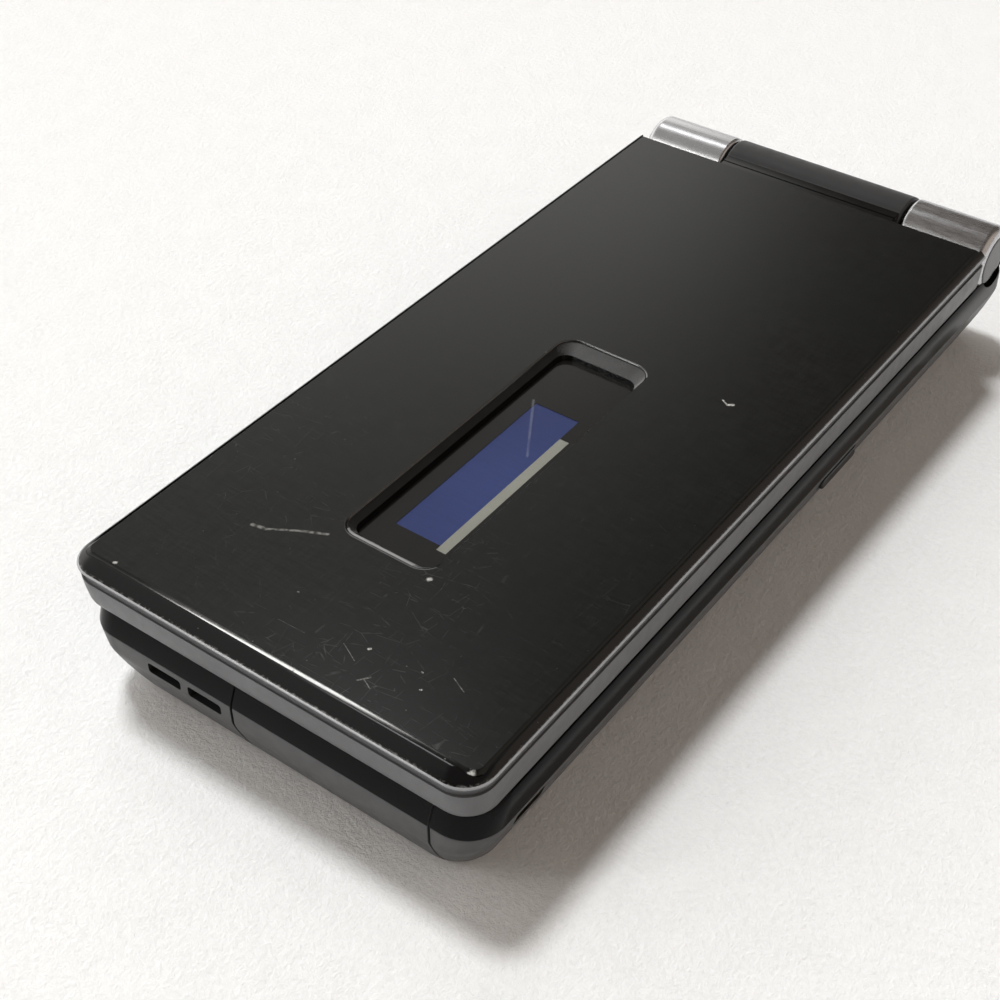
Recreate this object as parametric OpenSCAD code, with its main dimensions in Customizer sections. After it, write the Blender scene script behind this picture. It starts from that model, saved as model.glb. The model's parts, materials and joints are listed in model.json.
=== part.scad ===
// Flip phone: a folding body of two shells on a barrel hinge, with a small outer display,
// a full key deck, a port flap and a battery cover. Millimetres, +Z up, lying closed.
// Origin: centre of the underside. +Y points to the hinge end, +X to the right hand side.

/* [Body] */
// Overall length, from the front rim to the back of the hinge
body_l = 112; // [108:0.5:118]
// Overall width
body_w = 50; // [49:0.5:54]
// Height of the seam between the rear case and the front case
seam_z = 8; // [7.6:0.1:8.6]
// Thickness of the keypad deck
deck_t = 1.2; // [1:0.1:1.3]
// Height of the keypad deck above the seam
deck_rise = 3.1; // [2.9:0.1:3.6]
// Wall thickness of the cases
wall = 1.3; // [1.1:0.1:1.5]
// Radius of the case corners, seen from above
corner_r = 4.6; // [3.8:0.1:6]

/* [Lid] */
// Gap between the keypad deck and the closed lid
lid_gap = 0.4; // [0.3:0.05:0.6]
// Height of the lid's inner case
lid_inner_h = 3.4; // [3.3:0.1:4]
// Height from the lid's seam to its rim
lid_rim_h = 1.3; // [1.2:0.1:1.8]
// Height of the bevel from the rim to the top plate
bevel_h = 0.6; // [0.4:0.05:0.9]
// Width of the bevel at the free end
bevel_front = 1.9; // [1.4:0.1:2.4]
// Width of the bevel along the sides
bevel_side = 0.85; // [0.7:0.05:1.2]
// Thickness of the metal top plate
plate_t = 0.5; // [0.4:0.05:0.6]
// Radius of the lid's corners, seen from above
lid_corner_r = 3.6; // [3:0.1:5]

/* [Hinge] */
// Radius of the hinge barrel and knuckles
barrel_r = 4.4; // [4.2:0.05:4.6]
// Length of the centre barrel
barrel_l = 25.3; // [22:0.1:28]
// Radius of the bore that takes the hinge cartridge
cartridge_r = 2.95; // [2.7:0.05:3.1]
// Radius of the hinge shafts
shaft_r = 1.4; // [1.2:0.05:1.6]
// Running clearance of the hinge shafts
shaft_fit = 0.05; // [0.02:0.01:0.08]
// Gap between the barrel, the knuckles and the shells
hinge_gap = 0.3; // [0.25:0.05:0.45]

/* [Outer display] */
// Width of the outer display's lens
lens_w = 11.2; // [9:0.1:13]
// Length of the outer display's lens
lens_l = 39.5; // [34:0.5:46]
// Distance from the front rim to the lens
lens_front = 19.1; // [16:0.1:24]
// Thickness of the lens
lens_t = 0.7; // [0.5:0.1:0.9]

/* [Main display] */
// Margin beside the main display window
window_side = 3.3; // [3:0.1:4]
// Margin between the free end and the main display window
window_ear = 7.6; // [7.2:0.1:9]
// Margin between the hinge and the main display window
window_hinge = 7.3; // [6.5:0.1:10]
// Thickness of the main display window
window_t = 0.8; // [0.6:0.1:0.9]
// Thickness of the display module
display_t = 1.5; // [1.2:0.1:1.6]

/* [Keys] */
// Margin between the keys and the sides
key_margin = 3.2; // [3:0.1:4]
// Distance between neighbouring keys
key_rib = 1.4; // [1.3:0.1:2]
// Distance from the free end to the number keys
chin = 16.7; // [16:0.1:20]
// Length of the call, clear and end keys
call_l = 8.4; // [7:0.1:9]
// Gap between a key and the deck
key_gap = 0.25; // [0.2:0.01:0.3]
// How far the keys stand above the deck
key_proud = 0.22; // [0.1:0.02:0.25]
// How far a key travels when it is pressed
key_travel = 0.3; // [0.2:0.05:0.35]
// Radius of the navigation ring
nav_r = 10.4; // [9:0.1:10.6]
// Radius of the centre key
nav_centre_r = 4.2; // [3.6:0.1:4.6]

/* [Battery] */
// Margin between the battery and the sides of the body
battery_side = 7.7; // [7:0.1:9]
// Length of the battery
battery_l = 51; // [46:0.5:52]
// Thickness of the battery
battery_t = 4.6; // [4:0.1:4.7]
// Gap around the battery in its bay
battery_gap = 0.3; // [0.2:0.05:0.5]
// Thickness of the battery cover
cover_t = 0.9; // [0.7:0.05:0.9]
// Rim of the battery cover around the bay
cover_rim = 2.2; // [1.9:0.1:2.4]
// Gap around the battery cover and the port flap
cover_gap = 0.25; // [0.2:0.01:0.35]

/* [Port flap] */
// Width of the flap over the port
flap_w = 23.6; // [20:0.1:25]
// Sideways place of the flap's middle
flap_x = 7.45; // [6:0.05:8]
// Depth of the flap
flap_d = 3.5; // [3.2:0.1:3.8]

/* [Strap eyelet] */
// Width of each slot of the strap eyelet
slot_w = 4.4; // [3.6:0.1:4.8]
// Height of the strap slots
slot_h = 1.3; // [1:0.1:1.6]
// Width of the bar between the strap slots
strap_bar_w = 1; // [0.8:0.1:1.4]

/* [Hidden] */

round_fn = 48;     // segments of a plan corner
shell_fn = 40;     // segments of a corner of a blended shell
bore_fn = 64;      // segments of a bore or shaft
thin = 0.01;       // thickness of the slices that a shell is blended through
seat = 0.05;       // gap between a fitted inner piece and its seat
cut = 1;           // how far a cutter runs past the face it opens

half_l = body_l / 2;
half_w = body_w / 2;

// Heights
deck_z = seam_z + deck_rise;
deck_low = deck_z - deck_t;
lid_z = deck_z + lid_gap;
lid_seam_z = lid_z + lid_inner_h;
rim_z = lid_seam_z + lid_rim_h;
bevel_z = rim_z + bevel_h;
plate_z = bevel_z - 0.35;
plate_top = plate_z + plate_t;

// Hinge
hinge_y = half_l - barrel_r;
hinge_z = plate_top + 0.3 - barrel_r;
hinge_clear = barrel_r + hinge_gap;
knuckle_in = barrel_l / 2 + hinge_gap;
knuckle_out = half_w - 0.5;
cap_t = 0.8;
cap_r = cartridge_r + 0.3;
shaft_reach = 5;       // how far a shaft reaches into its knuckle
shaft_hold = 5;        // how far a shaft reaches into the barrel
flex_room_r = 3.2;     // radius of the hollow in the barrel
lid_back = hinge_y - hinge_clear;

// Plan insets of the base: the front end and the sides close in towards the underside
deck_front = 2;
seam_front = 0.65;
foot_front = 2.4;
foot_side = 3.2;
seam_side = 0.15;
foot_round = 0.9;
foot_back = 2.4;
deck_edge = 0.35;        // rounding of the deck's edge
back_r = 2.6;          // radius of the corners at the hinge end

// Lid insets
lid_foot = 0.9;
lid_step = 0.35;
lid_band = 0.15;
plate_lip = 0.12;       // lip of the case around the top plate
lid_edge = 0.3;         // rounding of the lid's lower edge

// Electronics stack in the base
board_t = 0.8;
dome_sheet_t = 0.1;
dome_h = 0.25;
stem_bottom = deck_low - 1.95;
dome_top = stem_bottom - key_travel - seat;
board_top = dome_top - dome_h - dome_sheet_t;
board_low = board_top - board_t;
flange_t = 0.6;
flange_w = 0.3;
stem_r = 1;
dome_r = 2.2;
sheet_side = 0.5;      // the dome sheet ends this far from the board's sides
sheet_front = 6;       // and this far beyond its outer domes
sheet_back = 11;
sheet_r = 2;

// Battery bay
battery_w = body_w - 2 * battery_side;
bay_w = battery_w + 2 * battery_gap;
bay_l = battery_l + 2 * battery_gap;
bay_y = -5;
bay_wall = 0.8;
bay_r = 0.8;
cover_w = bay_w + 2 * cover_rim;
cover_l = bay_l + 2 * cover_rim;
cover_r = 3;
battery_z = cover_t + seat;
groove_w = 12;         // thumb groove of the cover
groove_l = 2.2;
groove_r = 1.05;
groove_d = 0.35;
groove_y = 5;          // from the cover's end to the groove
bay_roof = board_low - 0.1;

// Keys: the rows count down from the navigation ring
key_r = 1.4;
key_top = deck_z + key_proud;
nav_gap = 0.45;
nav_back = 7.9;        // from the ring to the hinge end of the deck
nav_y = lid_back - nav_r - nav_back;
call_gap = 2.3;        // from the ring to the call keys
call_y = nav_y - nav_r - call_gap - call_l / 2;
row_gap = 1.8;         // from the call keys to the number keys
row_top = call_y - call_l / 2 - row_gap;
key_w = (body_w - 2 * key_margin - 2 * key_rib) / 3;
key_l = (row_top + half_l - chin - 3 * key_rib) / 4;
key_pitch_x = key_w + key_rib;
key_pitch_y = key_l + key_rib;
row_y = row_top - key_l / 2;
soft_gap = 3.6;        // from the ring to the keys beside it
soft_margin = 3.4;     // from those keys to the sides
soft_in = nav_r + soft_gap;
soft_out = half_w - soft_margin;
soft_w = soft_out - soft_in;
soft_x = (soft_in + soft_out) / 2;
soft_l = 8.6;
soft_dy = 5.4;

// Main display
window_w = body_w - 2 * window_side;
window_l = lid_back + half_l - window_ear - window_hinge;
window_y = (lid_back - window_hinge - half_l + window_ear) / 2;
window_seat = lid_z + 1.05;
inner_floor = window_seat + 0.6;
display_border = 0.9;
display_foot = 11.6;   // blank part of the window at the hinge
display_w = window_w - 2 * display_border;
display_l = window_l - 0.4 - display_foot;
display_y = window_y - window_l / 2 + 0.4 + display_l / 2;

// Outer display
lens_x = -0.3;
lens_y = -half_l + lens_front + lens_l / 2;
lens_r = 2;
lens_gap = 0.15;
outer_floor = plate_z - 1;
lens_z = outer_floor + 0.35;

// Screws
screw_head_r = 1.3;
screw_head_h = 0.8;
screw_shank_r = 0.7;
screw_room = 0.15;
boss_r = 1.9;
base_screw_x = half_w - 6.6;
base_screw_front = -half_l + 9.6;
base_screw_back = lid_back - 4.3;
lid_screw_x = half_w - 4.4;
lid_screw_front = -half_l + 4.4;
lid_screw_back = lid_back - 3.6;
pad_t = 0.5;
pad_proud = 0.3;

// Inner parts of the base
socket_w = 13;
socket_d = 5.6;
socket_h = 2.6;
mic_y = -half_l + 8.8;
mic_r = 2;
mic_h = 1.3;
speaker_x = 9.5;
speaker_y = lid_back - 9.9;
speaker_w = 13;
speaker_d = 9.6;
camera_x = -11;
camera_y = lid_back - 8.9;
camera_s = 8.4;
camera_window_r = 3.4;
flash_x = -2.6;
flash_r = 1.2;
floor_t = 1.1;
motor_r = 1.9;
motor_l = 8;

// Strap eyelet and side slot
strap_x = -10.9;
strap_z = 6.55;
strap_depth = 2.2;
terminal_y = -half_l + 9.3;
terminal_l = 4.4;
terminal_z = 6.1;
terminal_h = 1.4;

// Port flap: its hinge, and the room behind it in which its corner swings
flap_end = flap_x + flap_w / 2;
flap_hinge_x = flap_end - 1.2;
flap_hinge_y = -half_l + 1;
flap_deep = flap_d - 1;
flap_back = norm([1.2, flap_deep]) - flap_deep + cover_gap;
room_front = -half_l + flap_d + flap_back + wall;
room_back = lid_back - 1.5;

board_half = half_w - 3.5;
board_back = lid_back - 2.3;
antenna_y = room_back + 0.6;
motor_x = 3;
motor_y = room_front + 6.6;
card_x = -base_screw_x + boss_r + 0.7;
card_w = 12;
card_wall = 0.4;
card_back = bay_y - bay_l / 2 - bay_wall - 0.6;
shield_l = 28;
shield_h = 1.6;
antenna_half = half_w - 5;
antenna_d = 1.5;
antenna_back = half_l - 6.6;
camera_glass_t = 0.6;
nav_dome_r = 7.6;
nav_top = deck_z + 0.12;
ring_low = deck_low - 0.9;
rocker_top = ring_low - 0.25;
rocker_r = 6;
sub_t = 0.65;
window_gap = 0.1;
pad_r = 1.45;
ear_front = 5.1;       // from the free end to the listening slot
ear_y = -half_l + ear_front;
lid_board_half = lid_screw_x - boss_r - 0.3;

// Side key
side_key_y = 12;
side_key_l = 8;
side_key_h = 1.3;
side_key_z = 6.4;
side_key_lip = 0.7;
side_key_out = half_w - 0.15;
side_wall_in = half_w - 0.5 - wall;

case_black = [0.09, 0.09, 0.1];
case_grey = [0.3, 0.3, 0.31];
plate_dark = [0.19, 0.19, 0.18];
gold = [0.85, 0.68, 0.3];
steel = [0.62, 0.62, 0.64];
board_green = [0.1, 0.3, 0.2];

// ---- shared shapes -------------------------------------------------------------------------

// Rectangle with round corners, true arcs, centred
module rounded(w, l, r) {
    square([w - 2 * r, l], center = true);
    square([w, l - 2 * r], center = true);
    for (x = [-1, 1], y = [-1, 1])
        translate([x * (w / 2 - r), y * (l / 2 - r)]) circle(r, $fn = round_fn);
}

// Upright block with round corners, from height z
module rounded_block(w, l, r, z, h) {
    translate([0, 0, z]) linear_extrude(h) rounded(w, l, r);
}

// One thin slice of a case: insets from the body's width, front end and back end
module slice(z, side, front, back, r, back_r) {
    w = body_w - 2 * side;
    l = body_l - front - back;
    translate([0, (front - back) / 2, z]) linear_extrude(thin) {
        for (x = [-1, 1]) {
            translate([x * (w / 2 - r), r - l / 2]) circle(r, $fn = shell_fn);
            translate([x * (w / 2 - back_r), l / 2 - back_r]) circle(back_r, $fn = shell_fn);
        }
    }
}

// Round bar along X between two places
module bar_x(r, x0, x1) {
    translate([x0, hinge_y, hinge_z]) rotate([0, 90, 0]) cylinder(r = r, h = x1 - x0, $fn = bore_fn);
}

// Plain block from corner to corner
module block(x0, x1, y0, y1, z0, z1) {
    translate([x0, y0, z0]) cube([x1 - x0, y1 - y0, z1 - z0]);
}

// Upright round bar
module post(x, y, r, z0, z1) {
    translate([x, y, z0]) cylinder(r = r, h = z1 - z0, $fn = bore_fn);
}

// Copies its child at the four base screws, or the four lid screws
module at_base_screws() {
    for (x = [-1, 1], y = [base_screw_front, base_screw_back])
        translate([x * base_screw_x, y, 0]) children();
}

module both_sides() {
    children();
    mirror([1, 0, 0]) children();
}

// Room with round corners: half width, front, back
module room(half, y0, y1, r, z0, z1) {
    translate([0, (y0 + y1) / 2, z0]) linear_extrude(z1 - z0) {
        square([2 * half - 2 * r, y1 - y0], center = true);
        square([2 * half, y1 - y0 - 2 * r], center = true);
        for (x = [-1, 1], y = [-1, 1])
            translate([x * (half - r), y * ((y1 - y0) / 2 - r)]) circle(r, $fn = shell_fn);
    }
}

module at_lid_screws() {
    for (x = [-1, 1], y = [lid_screw_front, lid_screw_back])
        translate([x * lid_screw_x, y, 0]) children();
}

// ---- cases of the base ---------------------------------------------------------------------

// Inset of the lower base at a share t of its height: a bowed slope from foot to seam, and a
// rounded edge under it
function bowed(t, seam, foot) = seam + (foot - seam) * pow(1 - t, 1.25) + foot_edge(t * seam_z);
function foot_edge(z) =
    z < foot_round ? foot_round * (1 - sqrt(1 - pow(1 - z / foot_round, 2))) : 0;

// Outer form of the lower base, from the underside to the seam
module base_form() {
    hull() for (t = [0, 0.01, 0.03, 0.06, 0.11, 0.2, 0.35, 0.5, 0.65, 0.8, 0.9, 1])
        slice(t * (seam_z - thin), bowed(t, seam_side, foot_side), bowed(t, seam_front, foot_front),
              bowed(t, 0, foot_back), corner_r, back_r);
}

// Outer form of the front case, from the seam to the deck, leaning back at the free end
module base_top_form() {
    hull() for (t = [0, 0.25, 0.5, 0.7, 0.85, 0.93, 0.98, 1])
        slice(seam_z + t * (deck_rise - thin), seam_side + deck_edge * pow(t, 6),
              seam_front + (deck_front - seam_front) * pow(t, 1.15) + deck_edge * pow(t, 10),
              deck_edge * pow(t, 6), corner_r, back_r);
}

// Block that the port flap fills, wider by a gap
module flap_space(gap) {
    block(flap_end - flap_w - gap, flap_end + gap, -half_l - cut,
          -half_l + flap_d + (gap > 0 ? flap_back : 0), -cut, deck_z + cut);
}

// Opening in the deck for a key
module key_hole(x, y, w, l, r) {
    translate([x, y, 0]) rounded_block(w + 2 * key_gap, l + 2 * key_gap, r + key_gap,
                                       deck_low - cut, deck_t + 2 * cut);
}

// Columns and rows of the number keys
function key_x(column) = (column - 1) * key_pitch_x;
function key_y(row) = row_y - row * key_pitch_y;

module base_front_case() {
    color(case_black) difference() {
        union() {
            difference() {
                base_top_form();
                deck_room();
            }
            both_sides() knuckle();
        }
        block(-knuckle_in, knuckle_in, lid_back, half_l + cut, seam_z - cut, deck_z + cut);
        bar_x(hinge_clear, -knuckle_in, knuckle_in);
        both_sides() knuckle_bore();
        flap_space(cover_gap);
        key_openings();
        post(0, mic_y, 0.5, deck_low - cut, deck_z + cut);
        at_base_screws() post(0, 0, screw_shank_r, board_top - cut, deck_low + 0.4);
    }
}

// Hollow under the deck, with the screw bosses left standing
module deck_room() {
    difference() {
        room(side_wall_in, room_front, room_back, 3, seam_z - cut, deck_low);
        at_base_screws() post(0, 0, boss_r, board_top + seat, deck_z);
    }
}

// Outer knuckle of the hinge at the right, with the web under it
module knuckle() {
    intersection() {
        union() {
            bar_x(barrel_r, knuckle_in, knuckle_out);
            block(knuckle_in, knuckle_out, hinge_y - barrel_r, half_l, deck_low, hinge_z);
        }
        hinge_plan();
    }
}

// Plan that rounds the outer corners of the knuckles
module hinge_plan() {
    rounded_block(2 * knuckle_out, body_l, back_r, seam_z, plate_top + barrel_r);
}

module knuckle_bore() {
    bar_x(cartridge_r + seat, knuckle_in - cut, knuckle_out - cap_t);
    bar_x(cap_r, knuckle_out - cap_t, knuckle_out + cut);
}

module key_openings() {
    for (row = [0:3], column = [0:2])
        key_hole(key_x(column), key_y(row), key_w, key_l, key_r);
    for (column = [0:2]) key_hole(key_x(column), call_y, key_w, call_l, key_r);
    for (x = [-1, 1], y = [-1, 1])
        key_hole(x * soft_x, nav_y + y * soft_dy, soft_w, soft_l, key_r);
    post(0, nav_y, nav_r + nav_gap, deck_low - cut, deck_z + cut);
}

module base_rear_case() {
    color(case_grey) difference() {
        union() {
            difference() {
                base_form();
                rear_room();
            }
            bay_walls();
            at_base_screws() post(0, 0, boss_r, floor_t, board_low - seat);
        }
        // battery bay, open underneath, and the recess for its cover
        translate([0, bay_y, 0]) {
            rounded_block(bay_w, bay_l, bay_r, -cut, battery_z + battery_t + 2 * seat + cut);
            rounded_block(cover_w + 2 * cover_gap, cover_l + 2 * cover_gap,
                          cover_r + cover_gap, -cut, cover_t + seat + cut);
        }
        bar_x(hinge_clear, -knuckle_in, knuckle_in);
        flap_space(cover_gap);
        strap_slots();
        // mouth for the socket behind the flap
        block(flap_x - socket_w / 2 - seat, flap_x + socket_w / 2 + seat, -half_l, room_front + cut,
              board_low - socket_h - seat, board_low + seat);
        // slot over the cradle terminals
        block(half_w - wall - 0.4, half_w + cut, terminal_y - terminal_l / 2,
              terminal_y + terminal_l / 2, terminal_z - terminal_h / 2, terminal_z + terminal_h / 2);
        block(side_wall_in - 2, half_w + cut, side_key_y - side_key_l / 2 - key_gap,
              side_key_y + side_key_l / 2 + key_gap, side_key_z - side_key_h / 2 - key_gap,
              side_key_z + side_key_h / 2 + key_gap);
        // pocket for the side key's flange
        block(side_wall_in - 2, side_wall_in, side_key_y - side_key_l / 2 - side_key_lip - key_gap,
              side_key_y + side_key_l / 2 + side_key_lip + key_gap,
              side_key_z - side_key_h / 2 - side_key_lip - key_gap, seam_z + cut);
        at_base_screws() {
            post(0, 0, screw_shank_r, 0, board_low + cut);
            post(0, 0, screw_head_r + screw_room, -cut, floor_t + screw_head_h);
        }
        post(camera_x, camera_y, camera_window_r + seat, -cut, 0.75);
        post(camera_x, camera_y, camera_window_r - 0.5, -cut, floor_t + cut);
        post(flash_x, camera_y, flash_r + seat, -cut, floor_t + cut);
        speaker_slots();
        // window for the battery contacts
        block(-5.2, 5.2, bay_y + bay_l / 2 - cut, bay_y + bay_l / 2 + bay_wall + cut, 2.2, 4.4);
    }
}

module bay_walls() {
    block(-bay_w / 2 - bay_wall, bay_w / 2 + bay_wall, bay_y - bay_l / 2 - bay_wall,
          bay_y + bay_l / 2 + bay_wall, floor_t, bay_roof);
}

// Inner room of the rear case, which follows its sloping sides
module rear_room() {
    hull() {
        room(half_w - foot_side - wall - 0.4, room_front + 0.5, half_l - 6, 2, floor_t, floor_t + thin);
        room(side_wall_in - 0.7, room_front, half_l - 4, 2, seam_z * 0.55, seam_z * 0.55 + thin);
        room(side_wall_in, room_front, half_l - 3.5, 2, seam_z - 1, seam_z - 1 + thin);
    }
    room(side_wall_in, room_front, room_back, 3, seam_z - 1, seam_z + cut);
}

module strap_slots() {
    for (side = [-1, 1])
        translate([strap_x + side * (slot_w + strap_bar_w) / 2, 0, 0])
            block(-slot_w / 2, slot_w / 2, -half_l - cut, -half_l + seam_front + strap_depth,
                  strap_z - slot_h / 2, strap_z + slot_h / 2);
    // passage behind the bar
    block(strap_x - strap_bar_w, strap_x + strap_bar_w, -half_l + seam_front + 1.2,
          -half_l + seam_front + strap_depth, strap_z - slot_h / 2, strap_z + slot_h / 2);
}

module speaker_slots() {
    for (i = [-2:2])
        translate([speaker_x + i * 2, speaker_y, 0]) rounded_block(0.9, 6, 0.44, -cut, floor_t + 2 * cut);
}

// ---- covers --------------------------------------------------------------------------------

module battery_cover() {
    color(case_grey) difference() {
        translate([0, bay_y, 0]) intersection() {
            rounded_block(cover_w, cover_l, cover_r, 0, cover_t);
            translate([0, -bay_y, 0]) base_form();
        }
        // thumb groove at the free end
        translate([0, bay_y - cover_l / 2 + groove_y, 0])
            rounded_block(groove_w, groove_l, groove_r, -cut, cut + groove_d);
    }
}

module port_cover() {
    color(case_grey) difference() {
        intersection() {
            union() {
                base_form();
                base_top_form();
            }
            flap_space(0);
        }
        // finger lip at the free end
        post(flap_end - flap_w, -half_l, 1.1, seam_z - 3.2, seam_z - 1.6);
    }
}

// ---- parts inside the base -----------------------------------------------------------------

module battery_pack() {
    color([0.16, 0.17, 0.2])
        translate([0, bay_y, 0]) rounded_block(battery_w, battery_l, 0.7, battery_z, battery_t);
}

// Three sprung blades in a block, behind the bay's end wall
module battery_contacts() {
    y = bay_y + bay_l / 2;
    color(gold) {
        block(-5, 5, y + bay_wall + seat, y + bay_wall + 3, 1.4, bay_roof - 0.4);
        for (x = [-3, 0, 3])
            block(x - 0.6, x + 0.6, y - battery_gap + seat, y + bay_wall + seat, 2.6, 4);
    }
}

module main_board() {
    color(board_green) difference() {
        room(board_half, room_front + 0.3, board_back, 2.6, board_low, board_top);
        at_base_screws() post(0, 0, screw_shank_r + screw_room, board_low - cut, board_top + cut);
    }
}

module shield_cans() {
    color(steel) {
        both_sides() block(bay_w / 2 + bay_wall + seat, board_half - 0.3, bay_y - shield_l / 2,
                           bay_y + shield_l / 2, board_low - shield_h, board_low);
    }
}

module key_dome_sheet() {
    color([0.8, 0.78, 0.7]) {
        difference() {
            room(board_half - sheet_side, row_y - 3 * key_pitch_y - sheet_front, nav_y + sheet_back,
                 sheet_r, board_top, board_top + dome_sheet_t);
            at_base_screws() post(0, 0, boss_r + seat, board_top - cut, board_top + cut);
        }
        for (row = [0:3], column = [0:2]) dome(key_x(column), key_y(row));
        for (column = [0:2]) dome(key_x(column), call_y);
        for (x = [-1, 1], y = [-1, 1]) dome(x * soft_x, nav_y + y * soft_dy);
        for (a = [0:90:270]) dome(nav_dome_r * cos(a), nav_y + nav_dome_r * sin(a));
        dome(0, nav_y);
    }
}

module dome(x, y) {
    z = board_top + dome_sheet_t;
    translate([x, y, z]) cylinder(r1 = dome_r, r2 = dome_r - 0.7, h = dome_h, $fn = 32);
}

module usb_socket() {
    front = -half_l + flap_d + flap_back + 0.1;
    color(steel) difference() {
        block(flap_x - socket_w / 2, flap_x + socket_w / 2, front, front + socket_d,
              board_low - socket_h, board_low);
        block(flap_x - socket_w / 2 + 0.6, flap_x + socket_w / 2 - 0.6, front - cut,
              front + socket_d - 1.2, board_low - socket_h + 0.4, board_low - socket_h + 0.9);
        block(flap_x - socket_w / 2 + 0.6, flap_x + socket_w / 2 - 0.6, front - cut,
              front + socket_d - 1.2, board_low - 0.9, board_low - 0.4);
    }
}

module microphone() {
    color(steel) difference() {
        post(0, mic_y, mic_r, board_top, board_top + mic_h);
        post(0, mic_y, 0.4, board_top + mic_h - 0.4, board_top + mic_h + cut);
    }
}

module loudspeaker() {
    color([0.2, 0.2, 0.21])
        translate([speaker_x, speaker_y, 0])
            rounded_block(speaker_w, speaker_d, 1.5, floor_t + seat, board_low - floor_t - 2 * seat);
}

module vibration_motor() {
    z = board_low - motor_r;
    color(steel) {
        translate([motor_x, motor_y, z]) rotate([0, 90, 0]) cylinder(r = motor_r, h = motor_l, $fn = bore_fn);
        // eccentric weight on its shaft
        translate([motor_x + motor_l, motor_y, z]) rotate([0, 90, 0]) cylinder(r = 0.4, h = 2.6, $fn = bore_fn);
        translate([motor_x + motor_l + 0.5, motor_y, z]) rotate([0, 90, 0]) linear_extrude(2) difference() {
            circle(motor_r - 0.2, $fn = bore_fn);
            translate([0, -motor_r]) square([2 * motor_r, 2 * motor_r]);
            circle(0.4, $fn = bore_fn);
        }
    }
}

module camera_module() {
    color([0.15, 0.15, 0.16]) union() {
        translate([camera_x, camera_y, 0])
            rounded_block(camera_s, camera_s, 0.8, floor_t + seat, board_low - floor_t - seat);
        post(camera_x, camera_y, camera_window_r - 0.7, 0.8, floor_t + seat + 0.2);
    }
}

module camera_window() {
    color([0.1, 0.1, 0.14]) post(camera_x, camera_y, camera_window_r, 0.1, 0.1 + camera_glass_t);
}

module flash_lens() {
    color([0.95, 0.93, 0.85]) {
        post(flash_x, camera_y, flash_r, 0.1, floor_t + 0.2);
        post(flash_x, camera_y, flash_r + 0.6, floor_t + seat, floor_t + 0.8);
        post(flash_x, camera_y, 0.8, floor_t + 0.8, board_low);
    }
}

module card_holder() {
    color(steel) difference() {
        block(card_x, card_x + card_w, room_front + 1.6, card_back, board_low - 1.7, board_low);
        block(card_x + card_wall, card_x + card_w - card_wall, room_front, card_back - 2 * card_wall,
              board_low - 1.7 + card_wall, board_low - card_wall);
    }
}

// Radiator on its carrier, across the hinge end
module antenna() {
    color([0.75, 0.6, 0.35]) difference() {
        block(-antenna_half, antenna_half, antenna_y, antenna_back, floor_t + seat, board_low - 0.5);
        block(-antenna_half + antenna_d, antenna_half - antenna_d, antenna_y + 1, antenna_back + cut,
              floor_t + antenna_d, board_low - 0.5 + cut);
    }
}

module charge_terminals() {
    color(gold) for (y = [-1, 1])
        block(half_w - wall - 0.4, half_w - wall + 0.05, terminal_y + y * 1.05 - 0.65,
              terminal_y + y * 1.05 + 0.65, terminal_z - terminal_h / 2, terminal_z + terminal_h / 2);
}

module screw(z, head_r, shank_top) {
    difference() {
        union() {
            post(0, 0, head_r, z, z + screw_head_h);
            post(0, 0, screw_shank_r - 0.02, z, shank_top);
        }
        // cross recess
        block(-0.75, 0.75, -0.15, 0.15, z - cut, z + 0.4);
        block(-0.15, 0.15, -0.75, 0.75, z - cut, z + 0.4);
    }
}

module base_screws() {
    color(steel) at_base_screws() screw(floor_t, screw_head_r, deck_low + 0.3);
}

// ---- hinge ---------------------------------------------------------------------------------

module hinge_cartridge() {
    color(steel) difference() {
        bar_x(cartridge_r, -knuckle_out + cap_t + seat, -knuckle_in);
        bar_x(shaft_r + shaft_fit, -knuckle_in - shaft_reach - 0.2, -knuckle_in + cut);
    }
}

module hinge_bush() {
    color(steel) difference() {
        bar_x(cartridge_r, knuckle_in, knuckle_in + shaft_reach + 1.5);
        bar_x(shaft_r + shaft_fit, knuckle_in - cut, knuckle_in + shaft_reach + 0.2);
    }
}

module hinge_end_caps() {
    color(case_black) intersection() {
        both_sides() bar_x(cap_r - seat, knuckle_out - cap_t, knuckle_out);
        hinge_plan();
    }
}

module hinge_shaft() {
    bar_x(shaft_r, knuckle_in - hinge_gap - shaft_hold, knuckle_in + shaft_reach);
}

// Flatted shaft of the cartridge's cam
module hinge_cam_shaft() {
    color(steel) mirror([1, 0, 0]) hinge_shaft();
}

module hinge_pin() {
    color(steel) hinge_shaft();
}

// Flexible circuit, rolled inside the barrel
module hinge_flex() {
    half = barrel_l / 2 - shaft_hold - 0.6;
    color([0.8, 0.5, 0.15]) difference() {
        bar_x(flex_room_r - 0.1, -half, half);
        bar_x(flex_room_r - 0.4, -half - cut, half + cut);
    }
}

// ---- lid -----------------------------------------------------------------------------------

// One thin slice of the lid, round at the free end and square at the hinge end
module lid_slice(z, side, front) {
    w = body_w - 2 * side;
    r = lid_corner_r;
    translate([0, 0, z]) linear_extrude(thin) {
        for (x = [-1, 1]) translate([x * (w / 2 - r), -half_l + front + r]) circle(r, $fn = shell_fn);
        translate([-w / 2, lid_back - 2]) square([w, 2]);
    }
}

// Outer form of the lid's inner case: it closes in towards the deck, with a rounded lower edge
module lid_bottom_form() {
    hull() for (t = [0, 0.03, 0.08, 0.16, 0.4, 0.7, 1]) {
        inset = lid_band + (lid_foot - lid_band) * pow(1 - t, 1.3) + lid_edge * pow(1 - t, 12);
        lid_slice(lid_z + t * (lid_inner_h - thin), inset, inset);
    }
}

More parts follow.
